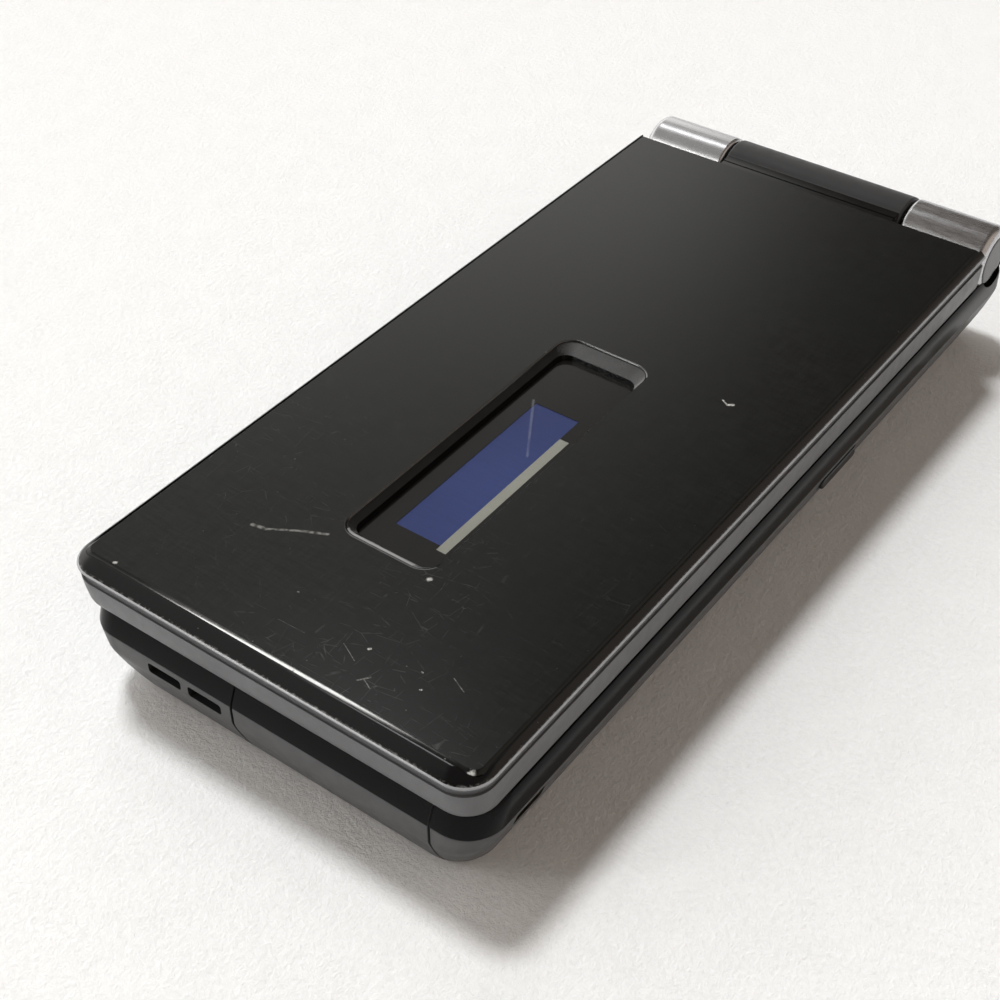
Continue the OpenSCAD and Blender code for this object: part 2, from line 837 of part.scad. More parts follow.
// Outer form of the lid's outer case: a short undercut, the rim and the bowed bevel over it
module lid_top_form() {
    hull() {
        for (t = [0, 0.5, 0.85, 1])
            lid_slice(lid_seam_z + t * (lid_rim_h - 0.05), lid_step * (1 - t * t), lid_step * (1 - t * t));
        for (t = [0.1, 0.3, 0.6, 1])
            lid_slice(rim_z + t * (bevel_h - thin), (bevel_side - plate_lip) * pow(t, 1.4),
                      (bevel_front - plate_lip) * pow(t, 1.4));
    }
}

module lid_outer_case() {
    color(case_black) difference() {
        union() {
            difference() {
                lid_top_form();
                lid_room(lid_seam_z - cut, outer_floor);
            }
            at_lid_screws() post(0, 0, boss_r, inner_floor + seat, outer_floor + seat);
            bar_x(barrel_r, -barrel_l / 2, barrel_l / 2);
            block(-barrel_l / 2, barrel_l / 2, lid_back - 1, hinge_y, lid_seam_z, plate_z + 0.1);
        }
        plate_plan(0.03, plate_z, plate_top + cut);
        bar_x(flex_room_r, -barrel_l / 2 + shaft_hold, barrel_l / 2 - shaft_hold);
        bar_x(shaft_r + 0.02, -barrel_l / 2 - cut, barrel_l / 2 + cut);
        lens_plan(lens_gap, lens_z, plate_top);
        lens_plan(-1, outer_floor - cut, plate_top);
        at_lid_screws() post(0, 0, screw_shank_r, inner_floor, outer_floor + 0.3);
    }
}

// Room inside the lid's cases
module lid_room(z0, z1) {
    room(half_w - lid_foot - wall, -half_l + lid_foot + wall, lid_back - wall, 2, z0, z1);
}

// Plan of the metal top plate
module plate_plan(gap, z0, z1) {
    w = body_w - 2 * bevel_side + 2 * gap;
    front = -half_l + bevel_front - gap;
    r = lid_corner_r - 2.2;
    translate([0, 0, z0]) linear_extrude(z1 - z0) {
        for (x = [-1, 1]) translate([x * (w / 2 - r), front + r]) circle(r, $fn = round_fn);
        translate([-w / 2 + r, front]) square([w - 2 * r, r]);
        translate([-w / 2, front + r]) square([w, lid_back + (gap > 0 ? cut : -0.25) - front - r]);
    }
}

module lens_plan(gap, z0, z1) {
    translate([lens_x, lens_y, 0])
        rounded_block(lens_w + 2 * gap, lens_l + 2 * gap, max(lens_r + gap, 0.5), z0, z1 - z0);
}

module lid_top_plate() {
    color(plate_dark) difference() {
        plate_plan(0, plate_z, plate_top);
        lens_plan(lens_gap, plate_z - cut, plate_top + cut);
    }
}

module sub_display_window() {
    color([0.5, 0.55, 0.6, 0.4]) lens_plan(0, lens_z, lens_z + lens_t);
}

module sub_display_module() {
    color([0.3, 0.33, 0.5])
        translate([lens_x, lens_y, 0])
            rounded_block(lens_w - 0.6, lens_l - 1.5, 0.8, outer_floor - sub_t - seat, sub_t);
}

module lid_inner_case() {
    color(case_grey) difference() {
        lid_bottom_form();
        lid_room(inner_floor, lid_seam_z + cut);
        window_plan(window_gap, lid_z - cut, window_seat);
        window_plan(-1.6, lid_z, inner_floor + cut);
        at_lid_screws() {
            post(0, 0, pad_r + 0.1, lid_z - cut, lid_z + pad_t - pad_proud + seat + screw_head_h);
            post(0, 0, screw_shank_r + screw_room, lid_z, inner_floor + cut);
        }
        // listening slot
        translate([0, ear_y, 0]) rounded_block(9, 0.9, 0.44, lid_z - cut, inner_floor - lid_z + 2 * cut);
    }
}

module window_plan(gap, z0, z1) {
    translate([0, window_y, 0])
        rounded_block(window_w + 2 * gap, window_l + 2 * gap, 1.6 + (gap > 0 ? gap : -0.8), z0, z1 - z0);
}

module main_display_window() {
    color([0.06, 0.06, 0.08]) window_plan(0, window_seat - window_t, window_seat);
}

module main_display_module() {
    color([0.2, 0.2, 0.25])
        translate([0, display_y, 0]) rounded_block(display_w, display_l, 0.6, inner_floor + seat, display_t);
}

module earpiece() {
    color([0.2, 0.2, 0.21])
        translate([0, ear_y, 0]) rounded_block(12, 3.6, 1, inner_floor + seat, 1.7);
}

module lid_board() {
    color(board_green)
        block(-lid_board_half, lid_board_half, display_y + display_l / 2 + 0.8, lid_back - wall - 0.6,
              inner_floor + seat, inner_floor + seat + board_t);
}

module bumper_pads() {
    color([0.12, 0.12, 0.12]) at_lid_screws() post(0, 0, pad_r, lid_z - pad_proud, lid_z + pad_t - pad_proud);
}

module lid_screws() {
    color(steel) at_lid_screws()
        screw(lid_z + pad_t - pad_proud + seat, screw_head_r, outer_floor + 0.2);
}

// ---- keys ----------------------------------------------------------------------------------

// One key: its cap in the deck, the flange that keeps it there and the stem over its dome
module key(x, y, w, l) {
    flange_z = deck_low - seat - flange_t;
    grow = 2 * key_gap + 2 * flange_w;
    color([0.24, 0.24, 0.25]) translate([x, y, 0]) {
        rounded_block(w, l, key_r, flange_z, key_top - flange_z);
        rounded_block(w + grow, l + grow, key_r, flange_z, flange_t);
        post(0, 0, stem_r, stem_bottom, flange_z + seat);
    }
}

// Number key by its column and row
module number_key(column, row) {
    key(key_x(column), key_y(row), key_w, key_l);
}

module call_key(column) {
    key(key_x(column), call_y, key_w, call_l);
}

module soft_key(side, end) {
    key(side * soft_x, nav_y + end * soft_dy, soft_w, soft_l);
}

module side_key() {
    color(case_black) {
        block(side_wall_in - 0.1, side_key_out, side_key_y - side_key_l / 2, side_key_y + side_key_l / 2,
              side_key_z - side_key_h / 2, side_key_z + side_key_h / 2);
        block(side_wall_in - 0.6, side_wall_in - seat, side_key_y - side_key_l / 2 - side_key_lip,
              side_key_y + side_key_l / 2 + side_key_lip, side_key_z - side_key_h / 2 - side_key_lip,
              side_key_z + side_key_h / 2 + side_key_lip);
    }
}

// Rocker under the ring: it tilts from side to side on two feet
module nav_rocker() {
    color([0.4, 0.4, 0.42]) difference() {
        union() {
            post(0, nav_y, rocker_r, rocker_top - 0.5, rocker_top);
            for (y = [-1, 1])
                post(0, nav_y + y * (rocker_r - 1), 0.5, board_top + dome_sheet_t + seat, rocker_top);
            for (x = [-1, 1])
                post(x * (rocker_r - 0.6), nav_y, 0.45, rocker_top, ring_low - 0.02);
        }
        post(0, nav_y, stem_r + 0.8, rocker_top - cut, rocker_top + cut);
    }
}

// Ring: it tilts up and down on the rocker
module nav_ring() {
    color([0.45, 0.45, 0.47]) difference() {
        union() {
            post(0, nav_y, nav_r, ring_low, nav_top);
            post(0, nav_y, nav_r + nav_gap + flange_w, ring_low, ring_low + 0.45);
            for (a = [0:90:270])
                post(nav_dome_r * cos(a), nav_y + nav_dome_r * sin(a), stem_r, stem_bottom, ring_low + seat);
        }
        post(0, nav_y, nav_centre_r + nav_gap, stem_bottom - cut, nav_top + cut);
    }
}

module nav_centre() {
    color([0.24, 0.24, 0.25]) {
        post(0, nav_y, nav_centre_r, ring_low + 0.3, nav_top);
        post(0, nav_y, stem_r, stem_bottom, ring_low + 0.35);
    }
}

base_front_case();
base_rear_case();
battery_cover();
port_cover();
battery_pack();
battery_contacts();
main_board();
shield_cans();
key_dome_sheet();
usb_socket();
microphone();
loudspeaker();
vibration_motor();
camera_module();
camera_window();
flash_lens();
card_holder();
antenna();
charge_terminals();
base_screws();
hinge_cartridge();
hinge_bush();
hinge_end_caps();
lid_outer_case();
lid_top_plate();
sub_display_window();
sub_display_module();
lid_inner_case();
main_display_window();
main_display_module();
earpiece();
lid_board();
bumper_pads();
lid_screws();
hinge_cam_shaft();
hinge_pin();
hinge_flex();
number_key(0, 0);  // key_1
number_key(1, 0);  // key_2
number_key(2, 0);  // key_3
number_key(0, 1);  // key_4
number_key(1, 1);  // key_5
number_key(2, 1);  // key_6
number_key(0, 2);  // key_7
number_key(1, 2);  // key_8
number_key(2, 2);  // key_9
number_key(0, 3);  // key_star
number_key(1, 3);  // key_0
number_key(2, 3);  // key_hash
call_key(0);  // key_call
call_key(1);  // key_clear
call_key(2);  // key_end
soft_key(-1, 1);  // key_mail
soft_key(1, 1);  // key_web
soft_key(-1, -1);  // key_menu
soft_key(1, -1);  // key_camera
side_key();
nav_rocker();
nav_ring();
nav_centre();
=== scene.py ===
"""Looks of a folding phone: shells, keys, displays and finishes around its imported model."""
import json
import math

import bmesh
import bpy
from mathutils import Matrix, Vector

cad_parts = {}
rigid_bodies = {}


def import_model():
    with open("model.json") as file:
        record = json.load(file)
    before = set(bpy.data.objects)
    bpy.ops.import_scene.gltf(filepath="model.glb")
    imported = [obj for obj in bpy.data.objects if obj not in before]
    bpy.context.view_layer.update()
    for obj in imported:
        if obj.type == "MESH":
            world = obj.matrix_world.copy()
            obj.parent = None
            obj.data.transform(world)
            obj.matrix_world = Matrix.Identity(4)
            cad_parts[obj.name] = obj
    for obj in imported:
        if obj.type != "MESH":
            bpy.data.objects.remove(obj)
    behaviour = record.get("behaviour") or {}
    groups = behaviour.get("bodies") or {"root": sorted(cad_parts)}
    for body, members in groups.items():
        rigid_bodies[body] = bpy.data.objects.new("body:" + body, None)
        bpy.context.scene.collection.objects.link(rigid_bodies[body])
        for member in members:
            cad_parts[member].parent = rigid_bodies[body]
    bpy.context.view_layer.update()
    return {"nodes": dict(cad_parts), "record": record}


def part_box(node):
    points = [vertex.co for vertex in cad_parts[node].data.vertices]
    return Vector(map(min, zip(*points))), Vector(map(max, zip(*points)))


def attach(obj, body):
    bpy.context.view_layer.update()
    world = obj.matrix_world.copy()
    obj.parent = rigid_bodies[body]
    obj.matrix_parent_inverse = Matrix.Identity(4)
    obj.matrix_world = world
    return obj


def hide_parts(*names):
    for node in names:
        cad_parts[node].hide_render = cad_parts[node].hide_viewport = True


bl_info = {
    "name": "Folding phone looks",
    "version": (1, 0, 0),
    "blender": (4, 5, 0),
    "location": "3D View > Sidebar > Phone",
    "description": "Shells, keys, displays and finishes of a folding phone",
    "category": "Object",
}

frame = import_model()

MM = 0.001


def span(name, axis):
    """Where a node begins and ends along one axis, in millimetres."""
    low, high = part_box(name)
    return low[axis] / MM, high[axis] / MM


def middle(name, axis):
    """Where the middle of a node lies along one axis, in millimetres."""
    return sum(span(name, axis)) / 2


# Places and heights that the frame gives, in millimetres
HALF_W = span("lid_outer_case", 0)[1]
FRONT_Y = span("lid_outer_case", 1)[0]
BACK_Y = span("lid_outer_case", 1)[1]
LID_BACK = span("lid_inner_case", 1)[1]
PLATE_Z, PLATE_TOP = span("lid_top_plate", 2)
LID_LOW, LID_SEAM = span("lid_inner_case", 2)
SEAM_Z = span("base_rear_case", 2)[1]
DECK_Z = span("port_cover", 2)[1]
NAV_Y = middle("nav_ring", 1)
COVER_T = span("battery_cover", 2)[1]
HINGE_Z = middle("hinge_pin", 2)
HINGE_Y = middle("hinge_pin", 1)
BARREL_R = BACK_Y - HINGE_Y
KNUCKLE_IN = span("hinge_bush", 0)[0]
KNUCKLE_OUT = span("hinge_end_caps", 0)[1]
HINGE_GAP = HINGE_Y - BARREL_R - LID_BACK
BARREL_HALF = KNUCKLE_IN - HINGE_GAP
FLAP_X0, FLAP_X1 = span("port_cover", 0)
FLAP_BACK = span("port_cover", 1)[1]
LENS_X, LENS_Y = middle("sub_display_window", 0), middle("sub_display_window", 1)
LENS_W = span("sub_display_window", 0)[1] - span("sub_display_window", 0)[0]
LENS_L = span("sub_display_window", 1)[1] - span("sub_display_window", 1)[0]
LENS_LOW, LENS_TOP = span("sub_display_window", 2)
WINDOW_W = span("main_display_window", 0)[1] - span("main_display_window", 0)[0]
WINDOW_Y0, WINDOW_Y1 = span("main_display_window", 1)
WINDOW_LOW, WINDOW_TOP = span("main_display_window", 2)
CAMERA_X, CAMERA_Y = middle("camera_window", 0), middle("camera_window", 1)
FLASH_X = middle("flash_lens", 0)
SPEAKER_X, SPEAKER_Y = middle("loudspeaker", 0), middle("loudspeaker", 1)
EAR_Y = middle("earpiece", 1)
SCREW_HEAD_R = 1.3
SCREW_X = span("base_screws", 0)[1] - SCREW_HEAD_R
RIM_Z = LID_SEAM + 1.3
BEVEL_Z = PLATE_Z + 0.35

# Plan insets, corner radii and walls of the shells, in millimetres
CORNER_R = 4.2
BACK_R = 2.6
LID_R = 3.3
SEAM_SIDE, SEAM_FRONT = 0.1, 0.65
FOOT_SIDE, FOOT_FRONT, FOOT_BACK = 3.2, 3.0, 2.4
FOOT_ROUND = 0.9
TURN_Z = 5.8
DECK_FRONT, DECK_EDGE = 2.0, 0.35
BEVEL_SIDE, BEVEL_FRONT = 0.85, 1.9
PLATE_LIP = 0.12
WALL = 1.3
SIDE_WALL_IN = HALF_W - 0.5 - WALL
LID_WALL = 2.2
PLATE_R = LID_R - 2.2
LENS_GAP = 0.15
LID_SCREW_X = HALF_W - 4.4
DECK_LOW = DECK_Z - 1.2
SIDE_SLOT_Z = 6.4
CAP_DEPTH = 0.8

# Key caps, in millimetres: corner radius, and the flange under the deck
KEY_R = 1.4
FLANGE_OUT = 0.55
FLANGE_T = 0.6

PALE_DUST = (0.5, 0.5, 0.48, 1.0)


# ---- sizes and colours a user may change ----------------------------------------------------

def size(name, text, default, low, high):
    """A length that a user may change, given in millimetres."""
    return bpy.props.FloatProperty(name=name, description=text, default=default * MM, min=low * MM,
                                   max=high * MM, subtype="DISTANCE", unit="LENGTH", precision=5)


def tint(name, text, default):
    """A colour that a user may change."""
    return bpy.props.FloatVectorProperty(name=name, description=text, default=default,
                                         subtype="COLOR", size=3, min=0.0, max=1.0)


class PhoneSizes(bpy.types.PropertyGroup):
    """Small edges and reliefs of the phone."""

    crease: size("Plate edge", "Height of the polished chamfer around the metal plate", 0.29, 0.05, 0.3)
    rim_round: size("Rim radius", "Radius of the rim of the lid", 0.15, 0.02, 0.3)
    key_edge: size("Key edge", "Radius of a key's upper edge", 0.16, 0.05, 0.2)
    key_dip: size("Key dip", "How far a key's edges fall below its middle", 0.1, 0.0, 0.16)
    digit: size("Digit height", "Height of a digit on a key", 4.2, 2.0, 6.0)


class PhoneColours(bpy.types.PropertyGroup):
    """Finishes of the phone."""

    plate: tint("Plate", "Dark anodised metal of the lid", (0.0042, 0.0044, 0.0041))
    gloss: tint("Gloss shell", "Glossy black plastic", (0.0036, 0.0036, 0.0039))
    satin: tint("Satin shell", "Satin grey plastic", (0.072, 0.073, 0.075))
    band: tint("Lid band", "Satin grey plastic under the rim of the lid", (0.112, 0.114, 0.119))
    panel: tint("Outer display", "Unlit panel of the outer display", (0.078, 0.108, 0.31))
    strip: tint("Panel frame", "Pale strip beside the outer display", (0.50, 0.50, 0.44))
    metal: tint("Key metal", "Satin metal of the navigation ring", (0.33, 0.33, 0.34))
    legend: tint("Legend", "Digits on the keys", (0.72, 0.73, 0.75))
    floor: tint("Floor", "Surface that the phone lies on", (0.90, 0.90, 0.905))


def size_of(name):
    """One of the sizes that a user may change, in millimetres."""
    return getattr(bpy.context.scene.phone_sizes, name) / MM


def colours():
    """The colours that a user may change."""
    return bpy.context.scene.phone_colours


# ---- mesh tools -----------------------------------------------------------------------------

CORNER_STEPS = 12
SIDE_STEPS = 40
END_STEPS = 20


def arc(cx, cy, radius, start, steps):
    """Quarter arc round a centre, from an angle in degrees, both ends included."""
    angles = [math.radians(start + 90 * i / steps) for i in range(steps + 1)]
    return [(cx + radius * math.cos(a), cy + radius * math.sin(a)) for a in angles]


def between(a, b, steps):
    """Points between two points, without the ends."""
    return [(a[0] + (b[0] - a[0]) * i / steps, a[1] + (b[1] - a[1]) * i / steps)
            for i in range(1, steps)]


def plan(half, y0, y1, r0, r1=None, centre=0.0, corner=CORNER_STEPS, side=SIDE_STEPS, end=END_STEPS):
    """Rounded outline, counter-clockwise: half width, both ends, corner radius at each end."""
    r1 = r0 if r1 is None else r1
    x0, x1 = centre - half, centre + half
    corners = [
        arc(x1 - r0, y0 + r0, r0, 270, corner),
        arc(x1 - r1, y1 - r1, r1, 0, corner),
        arc(x0 + r1, y1 - r1, r1, 90, corner),
        arc(x0 + r0, y0 + r0, r0, 180, corner),
    ]
    steps = (side, end, side, end)
    points = []
    for i, points_of_corner in enumerate(corners):
        points += points_of_corner
        points += between(points_of_corner[-1], corners[(i + 1) % 4][0], steps[i])
    return points


def small_plan(x, y, w, l, r, steps=6):
    """Rounded outline of a small opening or cap, round its middle."""
    return plan(w / 2, y - l / 2, y + l / 2, r, r, x, steps, 1, 1)


def circle(x, y, r, steps=48):
    """Round outline, counter-clockwise."""
    return [(x + r * math.cos(2 * math.pi * i / steps), y + r * math.sin(2 * math.pi * i / steps))
            for i in range(steps)]


def quarter(steps, first=1):
    """Even angles of a quarter turn, the last one included."""
    return [math.pi / 2 * i / steps for i in range(first, steps + 1)]


def add_skin(bm, layers, slot=0):
    """Faces between one closed row of vertices and the next."""
    for low, high in zip(layers, layers[1:]):
        for i in range(len(low)):
            j = (i + 1) % len(low)
            bm.faces.new((low[i], low[j], high[j], high[i])).material_index = slot


def add_ends(bm, layers, slot=0, top_slot=None):
    """Flat faces over the first and the last row of vertices."""
    bm.faces.new(list(reversed(layers[0]))).material_index = slot
    bm.faces.new(layers[-1]).material_index = slot if top_slot is None else top_slot


def add_loft(bm, rings, slot=0, top_slot=None):
    """Closed solid through rings of (outline, height), with flat ends."""
    layers = [[bm.verts.new((x, y, z)) for x, y in points] for points, z in rings]
    add_skin(bm, layers, slot)
    add_ends(bm, layers, slot, top_slot)


def add_block(bm, x0, x1, y0, y1, z0, z1, slot=0):
    """Box between two values on each axis."""
    add_loft(bm, [([(x0, y0), (x1, y0), (x1, y1), (x0, y1)], z) for z in (z0, z1)], slot)


def add_prism(bm, outline, z0, z1, slot=0):
    """Upright solid with one outline."""
    add_loft(bm, [(outline, z0), (outline, z1)], slot)


def loft(rings):
    """New mesh of one loft."""
    bm = bmesh.new()
    add_loft(bm, rings)
    return bm


def prisms(outlines, z0, z1):
    """New mesh of upright solids between two heights."""
    bm = bmesh.new()
    for outline in outlines:
        add_prism(bm, outline, z0, z1)
    return bm


def block(*ends):
    """New mesh of one box."""
    bm = bmesh.new()
    add_block(bm, *ends)
    return bm


def bar(stations, steps=96):
    """New mesh of one round bar on the hinge axis."""
    bm = bmesh.new()
    add_bar(bm, stations, steps)
    return bm


def add_shape(bm, obj, slot):
    """Adds the mesh of an object, with one finish, and removes the object."""
    verts, faces = len(bm.verts), len(bm.faces)
    bm.from_mesh(obj.data)
    bm.verts.ensure_lookup_table()
    bm.faces.ensure_lookup_table()
    bmesh.ops.scale(bm, vec=(1 / MM,) * 3, verts=bm.verts[verts:])
    for face in bm.faces[faces:]:
        face.material_index = slot
    bpy.data.objects.remove(obj)


def add_bar(bm, stations, steps=96):
    """Round bar on the hinge axis, through stations of (x, radius), with flat ends."""
    layers = [[bm.verts.new((x, y, z)) for y, z in circle(HINGE_Y, HINGE_Z, r, steps)] for x, r in stations]
    add_skin(bm, layers)
    add_ends(bm, layers)


def mirrored(stations, side):
    """Stations of a bar on the right (1) or turned over to the left (-1), from left to right."""
    return [(side * x, r) for x, r in (stations if side > 0 else stations[::-1])]


def side_bars(x0, x1, r, steps=64):
    """New mesh of a bar in each end of the hinge, from x0 to x1 on the right and its like on the left."""
    bm = bmesh.new()
    for side in (-1, 1):
        add_bar(bm, mirrored([(x0, r), (x1, r)], side), steps)
    return bm


def rounded_stations(x0, x1, r, e0, e1, steps=5):
    """Stations of a bar whose ends are rounded by e0 and e1."""
    turn = quarter(steps, 0)
    return ([(x0 + e0 * (1 - math.cos(a)), r - e0 * (1 - math.sin(a))) for a in turn]
            + [(x1 - e1 * (1 - math.sin(a)), r - e1 * (1 - math.cos(a))) for a in turn])


def new_object(name, bm, *materials):
    """Object in metres from a mesh in millimetres, doubles merged and faces outward."""
    bmesh.ops.remove_doubles(bm, verts=bm.verts, dist=0.0004)
    bmesh.ops.recalc_face_normals(bm, faces=bm.faces)
    bmesh.ops.scale(bm, vec=(MM, MM, MM), verts=bm.verts)
    mesh = bpy.data.meshes.new(name)
    bm.to_mesh(mesh)
    bm.free()
    obj = bpy.data.objects.new(name, mesh)
    bpy.context.collection.objects.link(obj)
    for material in materials:
        mesh.materials.append(material)
    return obj


def settle(obj):
    """Turns an object's live modifiers into its plain mesh."""
    graph = bpy.context.evaluated_depsgraph_get()
    graph.update()
    mesh = bpy.data.meshes.new_from_object(obj.evaluated_get(graph))
    old = obj.data
    obj.modifiers.clear()
    obj.data = mesh
    bpy.data.meshes.remove(old)
    mesh.name = obj.name
    return obj


def join_with(obj, bm, operation, slot_of_cut=None):
    """Boolean of an object with a mesh in millimetres. Cut faces may take a slot of their own."""
    cutter = new_object("cutter", bm)
    for material in obj.data.materials:
        cutter.data.materials.append(material)
    if slot_of_cut is not None:
        for face in cutter.data.polygons:
            face.material_index = slot_of_cut
    modifier = obj.modifiers.new("cut", "BOOLEAN")
    modifier.operation = operation
    modifier.object = cutter
    modifier.solver = "EXACT"
    modifier.material_mode = "INDEX"
    before = len(obj.data.polygons)
    settle(obj)
    if not obj.data.polygons or (operation == "DIFFERENCE" and len(obj.data.polygons) == before):
        raise RuntimeError(f"{operation} changed nothing on {obj.name}")
    bpy.data.objects.remove(cutter)
    return obj


def carve(obj, bm, slot_of_cut=None):
    """Takes a mesh away from an object."""
    return join_with(obj, bm, "DIFFERENCE", slot_of_cut)


def fuse(obj, bm, slot=None):
    """Joins a mesh to an object."""
    return join_with(obj, bm, "UNION", slot)


def shade(obj, angle=32.0):
    """Smooth shading that stays sharp over an angle, weighted so that flat faces stay flat."""
    mesh = obj.data
    mesh.polygons.foreach_set("use_smooth", [True] * len(mesh.polygons))
    mesh.set_sharp_from_angle(angle=math.radians(angle))
    modifier = obj.modifiers.new("flat faces", "WEIGHTED_NORMAL")
    modifier.keep_sharp = True
    modifier.weight = 100
    settle(obj)
    return obj


def done(obj, body, slot, *nodes):
    """Gives a finished piece its body and hides the nodes that it stands for; the slot is not used."""
    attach(obj, body)
    if nodes:
        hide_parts(*nodes)
    return obj


# ---- finishes -------------------------------------------------------------------------------

def add_node(tree, kind, inputs, settings):
    """New node with its settings. An input takes a link from a socket, or else a value."""
    made = tree.nodes.new(kind)
    for key, value in settings.items():
        setattr(made, key, value)
    for key, value in (inputs or {}).items():
        if isinstance(value, bpy.types.NodeSocket):
            tree.links.new(value, made.inputs[key])
        else:
            made.inputs[key].default_value = value
    return made


class Finish:
    """A material and short calls that build its nodes. Lengths are in millimetres."""

    def __init__(self, name, colour, roughness, sockets=None):
        self.material = bpy.data.materials.new(name)
        self.material.use_nodes = True
        self.tree = self.material.node_tree
        self.shader = self.tree.nodes["Principled BSDF"]
        self.colour = (*colour, 1.0)
        self.normal = None
        self.shader.inputs["Base Color"].default_value = self.colour
        self.shader.inputs["Roughness"].default_value = roughness
        for socket, value in (sockets or {}).items():
            self.shader.inputs[socket].default_value = value

    def node(self, kind, inputs=None, **settings):
        """New node of this tree."""
        return add_node(self.tree, kind, inputs, settings)

    def place(self, stretch=(1, 1, 1), turn=0.0):
        """Object coordinates in millimetres, stretched and turned about Z."""
        coords = self.node("ShaderNodeTexCoord").outputs["Object"]
        return self.node("ShaderNodeMapping", {
            "Vector": coords, "Rotation": (0, 0, math.radians(turn)),
            "Scale": tuple(s / MM for s in stretch)}).outputs[0]

    def axis(self, index):
        """One of the three Object coordinates in millimetres."""
        return self.node("ShaderNodeSeparateXYZ", {0: self.place()}).outputs[index]

    def noise(self, scale, detail=2.0, stretch=(1, 1, 1), turn=0.0, rough=0.5):
        """Soft noise between 0 and 1."""
        return self.node("ShaderNodeTexNoise", {
            "Vector": self.place(stretch, turn), "Scale": scale, "Detail": detail,
            "Roughness": rough}).outputs[0]

    def specks(self, scale, size_share, chance):
        """Small marks: 1 in the middle of some cells of a Voronoi pattern, 0 elsewhere."""
        cells = self.node("ShaderNodeTexVoronoi", {"Vector": self.place(), "Scale": scale})
        near = self.remap(cells.outputs["Distance"], size_share, size_share * 0.4, 0, 1)
        split = self.node("ShaderNodeSeparateColor", {0: cells.outputs["Color"]}).outputs[0]
        return self.calc("MULTIPLY", near, self.calc("LESS_THAN", split, chance))

    def hairlines(self, scale, width, stretch, turn):
        """Thin broken lines along the edges of long cells."""
        cells = self.node("ShaderNodeTexVoronoi", {
            "Vector": self.place(stretch, turn), "Scale": scale}, feature="DISTANCE_TO_EDGE").outputs[0]
        return self.calc("MULTIPLY", self.remap(cells, width, 0.0, 0.0, 1.0),
                        self.remap(self.noise(0.6, 2.0, turn=turn), 0.5, 0.6, 0.0, 1.0))

    def calc(self, operation, a, b):
        """Math node on two values."""
        return self.node("ShaderNodeMath", {0: a, 1: b}, operation=operation).outputs[0]

    def remap(self, value, low, high, to_low, to_high):
        """Value moved from one range to another and held inside it."""
        return self.node("ShaderNodeMapRange", {
            "Value": value, "From Min": low, "From Max": high,
            "To Min": to_low, "To Max": to_high}).outputs[0]

    def mix(self, factor, a, b):
        """Mix of two colours."""
        made = self.node("ShaderNodeMix", data_type="RGBA")
        for index, value in ((0, factor), (6, a), (7, b)):
            if isinstance(value, bpy.types.NodeSocket):
                self.tree.links.new(value, made.inputs[index])
            else:
                made.inputs[index].default_value = value
        return made.outputs[2]

    def shade_of(self, factor):
        """The finish's own colour, made lighter or darker."""
        return tuple(min(c * factor, 1.0) for c in self.colour[:3]) + (1.0,)

    def round_edges(self, radius):
        """Small rounding of all edges, in shading only."""
        self.normal = self.node("ShaderNodeBevel", {"Radius": radius * MM}, samples=4).outputs[0]
        self.tree.links.new(self.normal, self.shader.inputs["Normal"])

    def bump(self, height, depth, strength=1.0):
        """Relief on top of what the normal already holds."""
        inputs = {"Height": height, "Distance": depth * MM, "Strength": strength}
        if self.normal is not None:
            inputs["Normal"] = self.normal
        self.normal = self.node("ShaderNodeBump", inputs).outputs[0]
        self.tree.links.new(self.normal, self.shader.inputs["Normal"])

    def paint(self, output):
        """Colour of the surface from a socket."""
        self.tree.links.new(output, self.shader.inputs["Base Color"])

    def dull(self, output):
        """Roughness of the surface from a socket."""
        self.tree.links.new(output, self.shader.inputs["Roughness"])

    def scratch(self, a, b, width, grain=6.0, level=PLATE_TOP):
        """Broken line between two places of the plan, as a mask."""
        def vector(operation, first, second, output=0):
            made = self.node("ShaderNodeVectorMath", {0: first, 1: second}, operation=operation)
            return made.outputs[output]

        run = (b[0] - a[0], b[1] - a[1], 0.0)
        along = vector("SUBTRACT", self.place(), (*a, level))
        dot = vector("DOT_PRODUCT", along, run, "Value")
        share = self.remap(dot, 0.0, run[0] ** 2 + run[1] ** 2, 0.0, 1.0)
        step = self.node("ShaderNodeVectorMath", {0: run, "Scale": share}, operation="SCALE").outputs[0]
        away = vector("DISTANCE", along, step, "Value")
        line = self.remap(away, width, width * 0.35, 0.0, 1.0)
        return self.calc("MULTIPLY", line, self.remap(self.noise(grain, 1.0), 0.36, 0.58, 0.15, 1.0))

    def together(self, masks):
        """Highest of several masks."""
        total = masks[0]
        for mask in masks[1:]:
            total = self.calc("MAXIMUM", total, mask)
        return total


def plastic(name, colour, roughness, grain=0.0, edge=0.06, specular=0.3, dust=0.0):
    """Moulded or painted plastic with uneven gloss, fine grain and light dust."""
    f = Finish(name, colour, roughness, {"Specular IOR Level": specular})
    if edge:
        f.round_edges(edge)
    cloud = f.noise(0.12, 3.0)
    f.dull(f.remap(f.noise(0.7, 4.0), 0.3, 0.7, roughness * 0.86, min(roughness * 1.16, 1.0)))
    shade = f.mix(f.remap(cloud, 0.35, 0.65, 0, 1), f.shade_of(0.93), f.shade_of(1.07))
    if grain:
        fine = f.noise(9.0, 2.0)
        shade = f.mix(f.remap(fine, 0.3, 0.7, 0, 0.35), shade, f.shade_of(1.35))
        f.bump(fine, grain, 0.5)
    if dust:
        specks = f.specks(0.9, 0.05, chance=0.3)
        shade = f.mix(f.calc("MULTIPLY", specks, dust), shade, PALE_DUST)
    f.paint(shade)
    return f.material


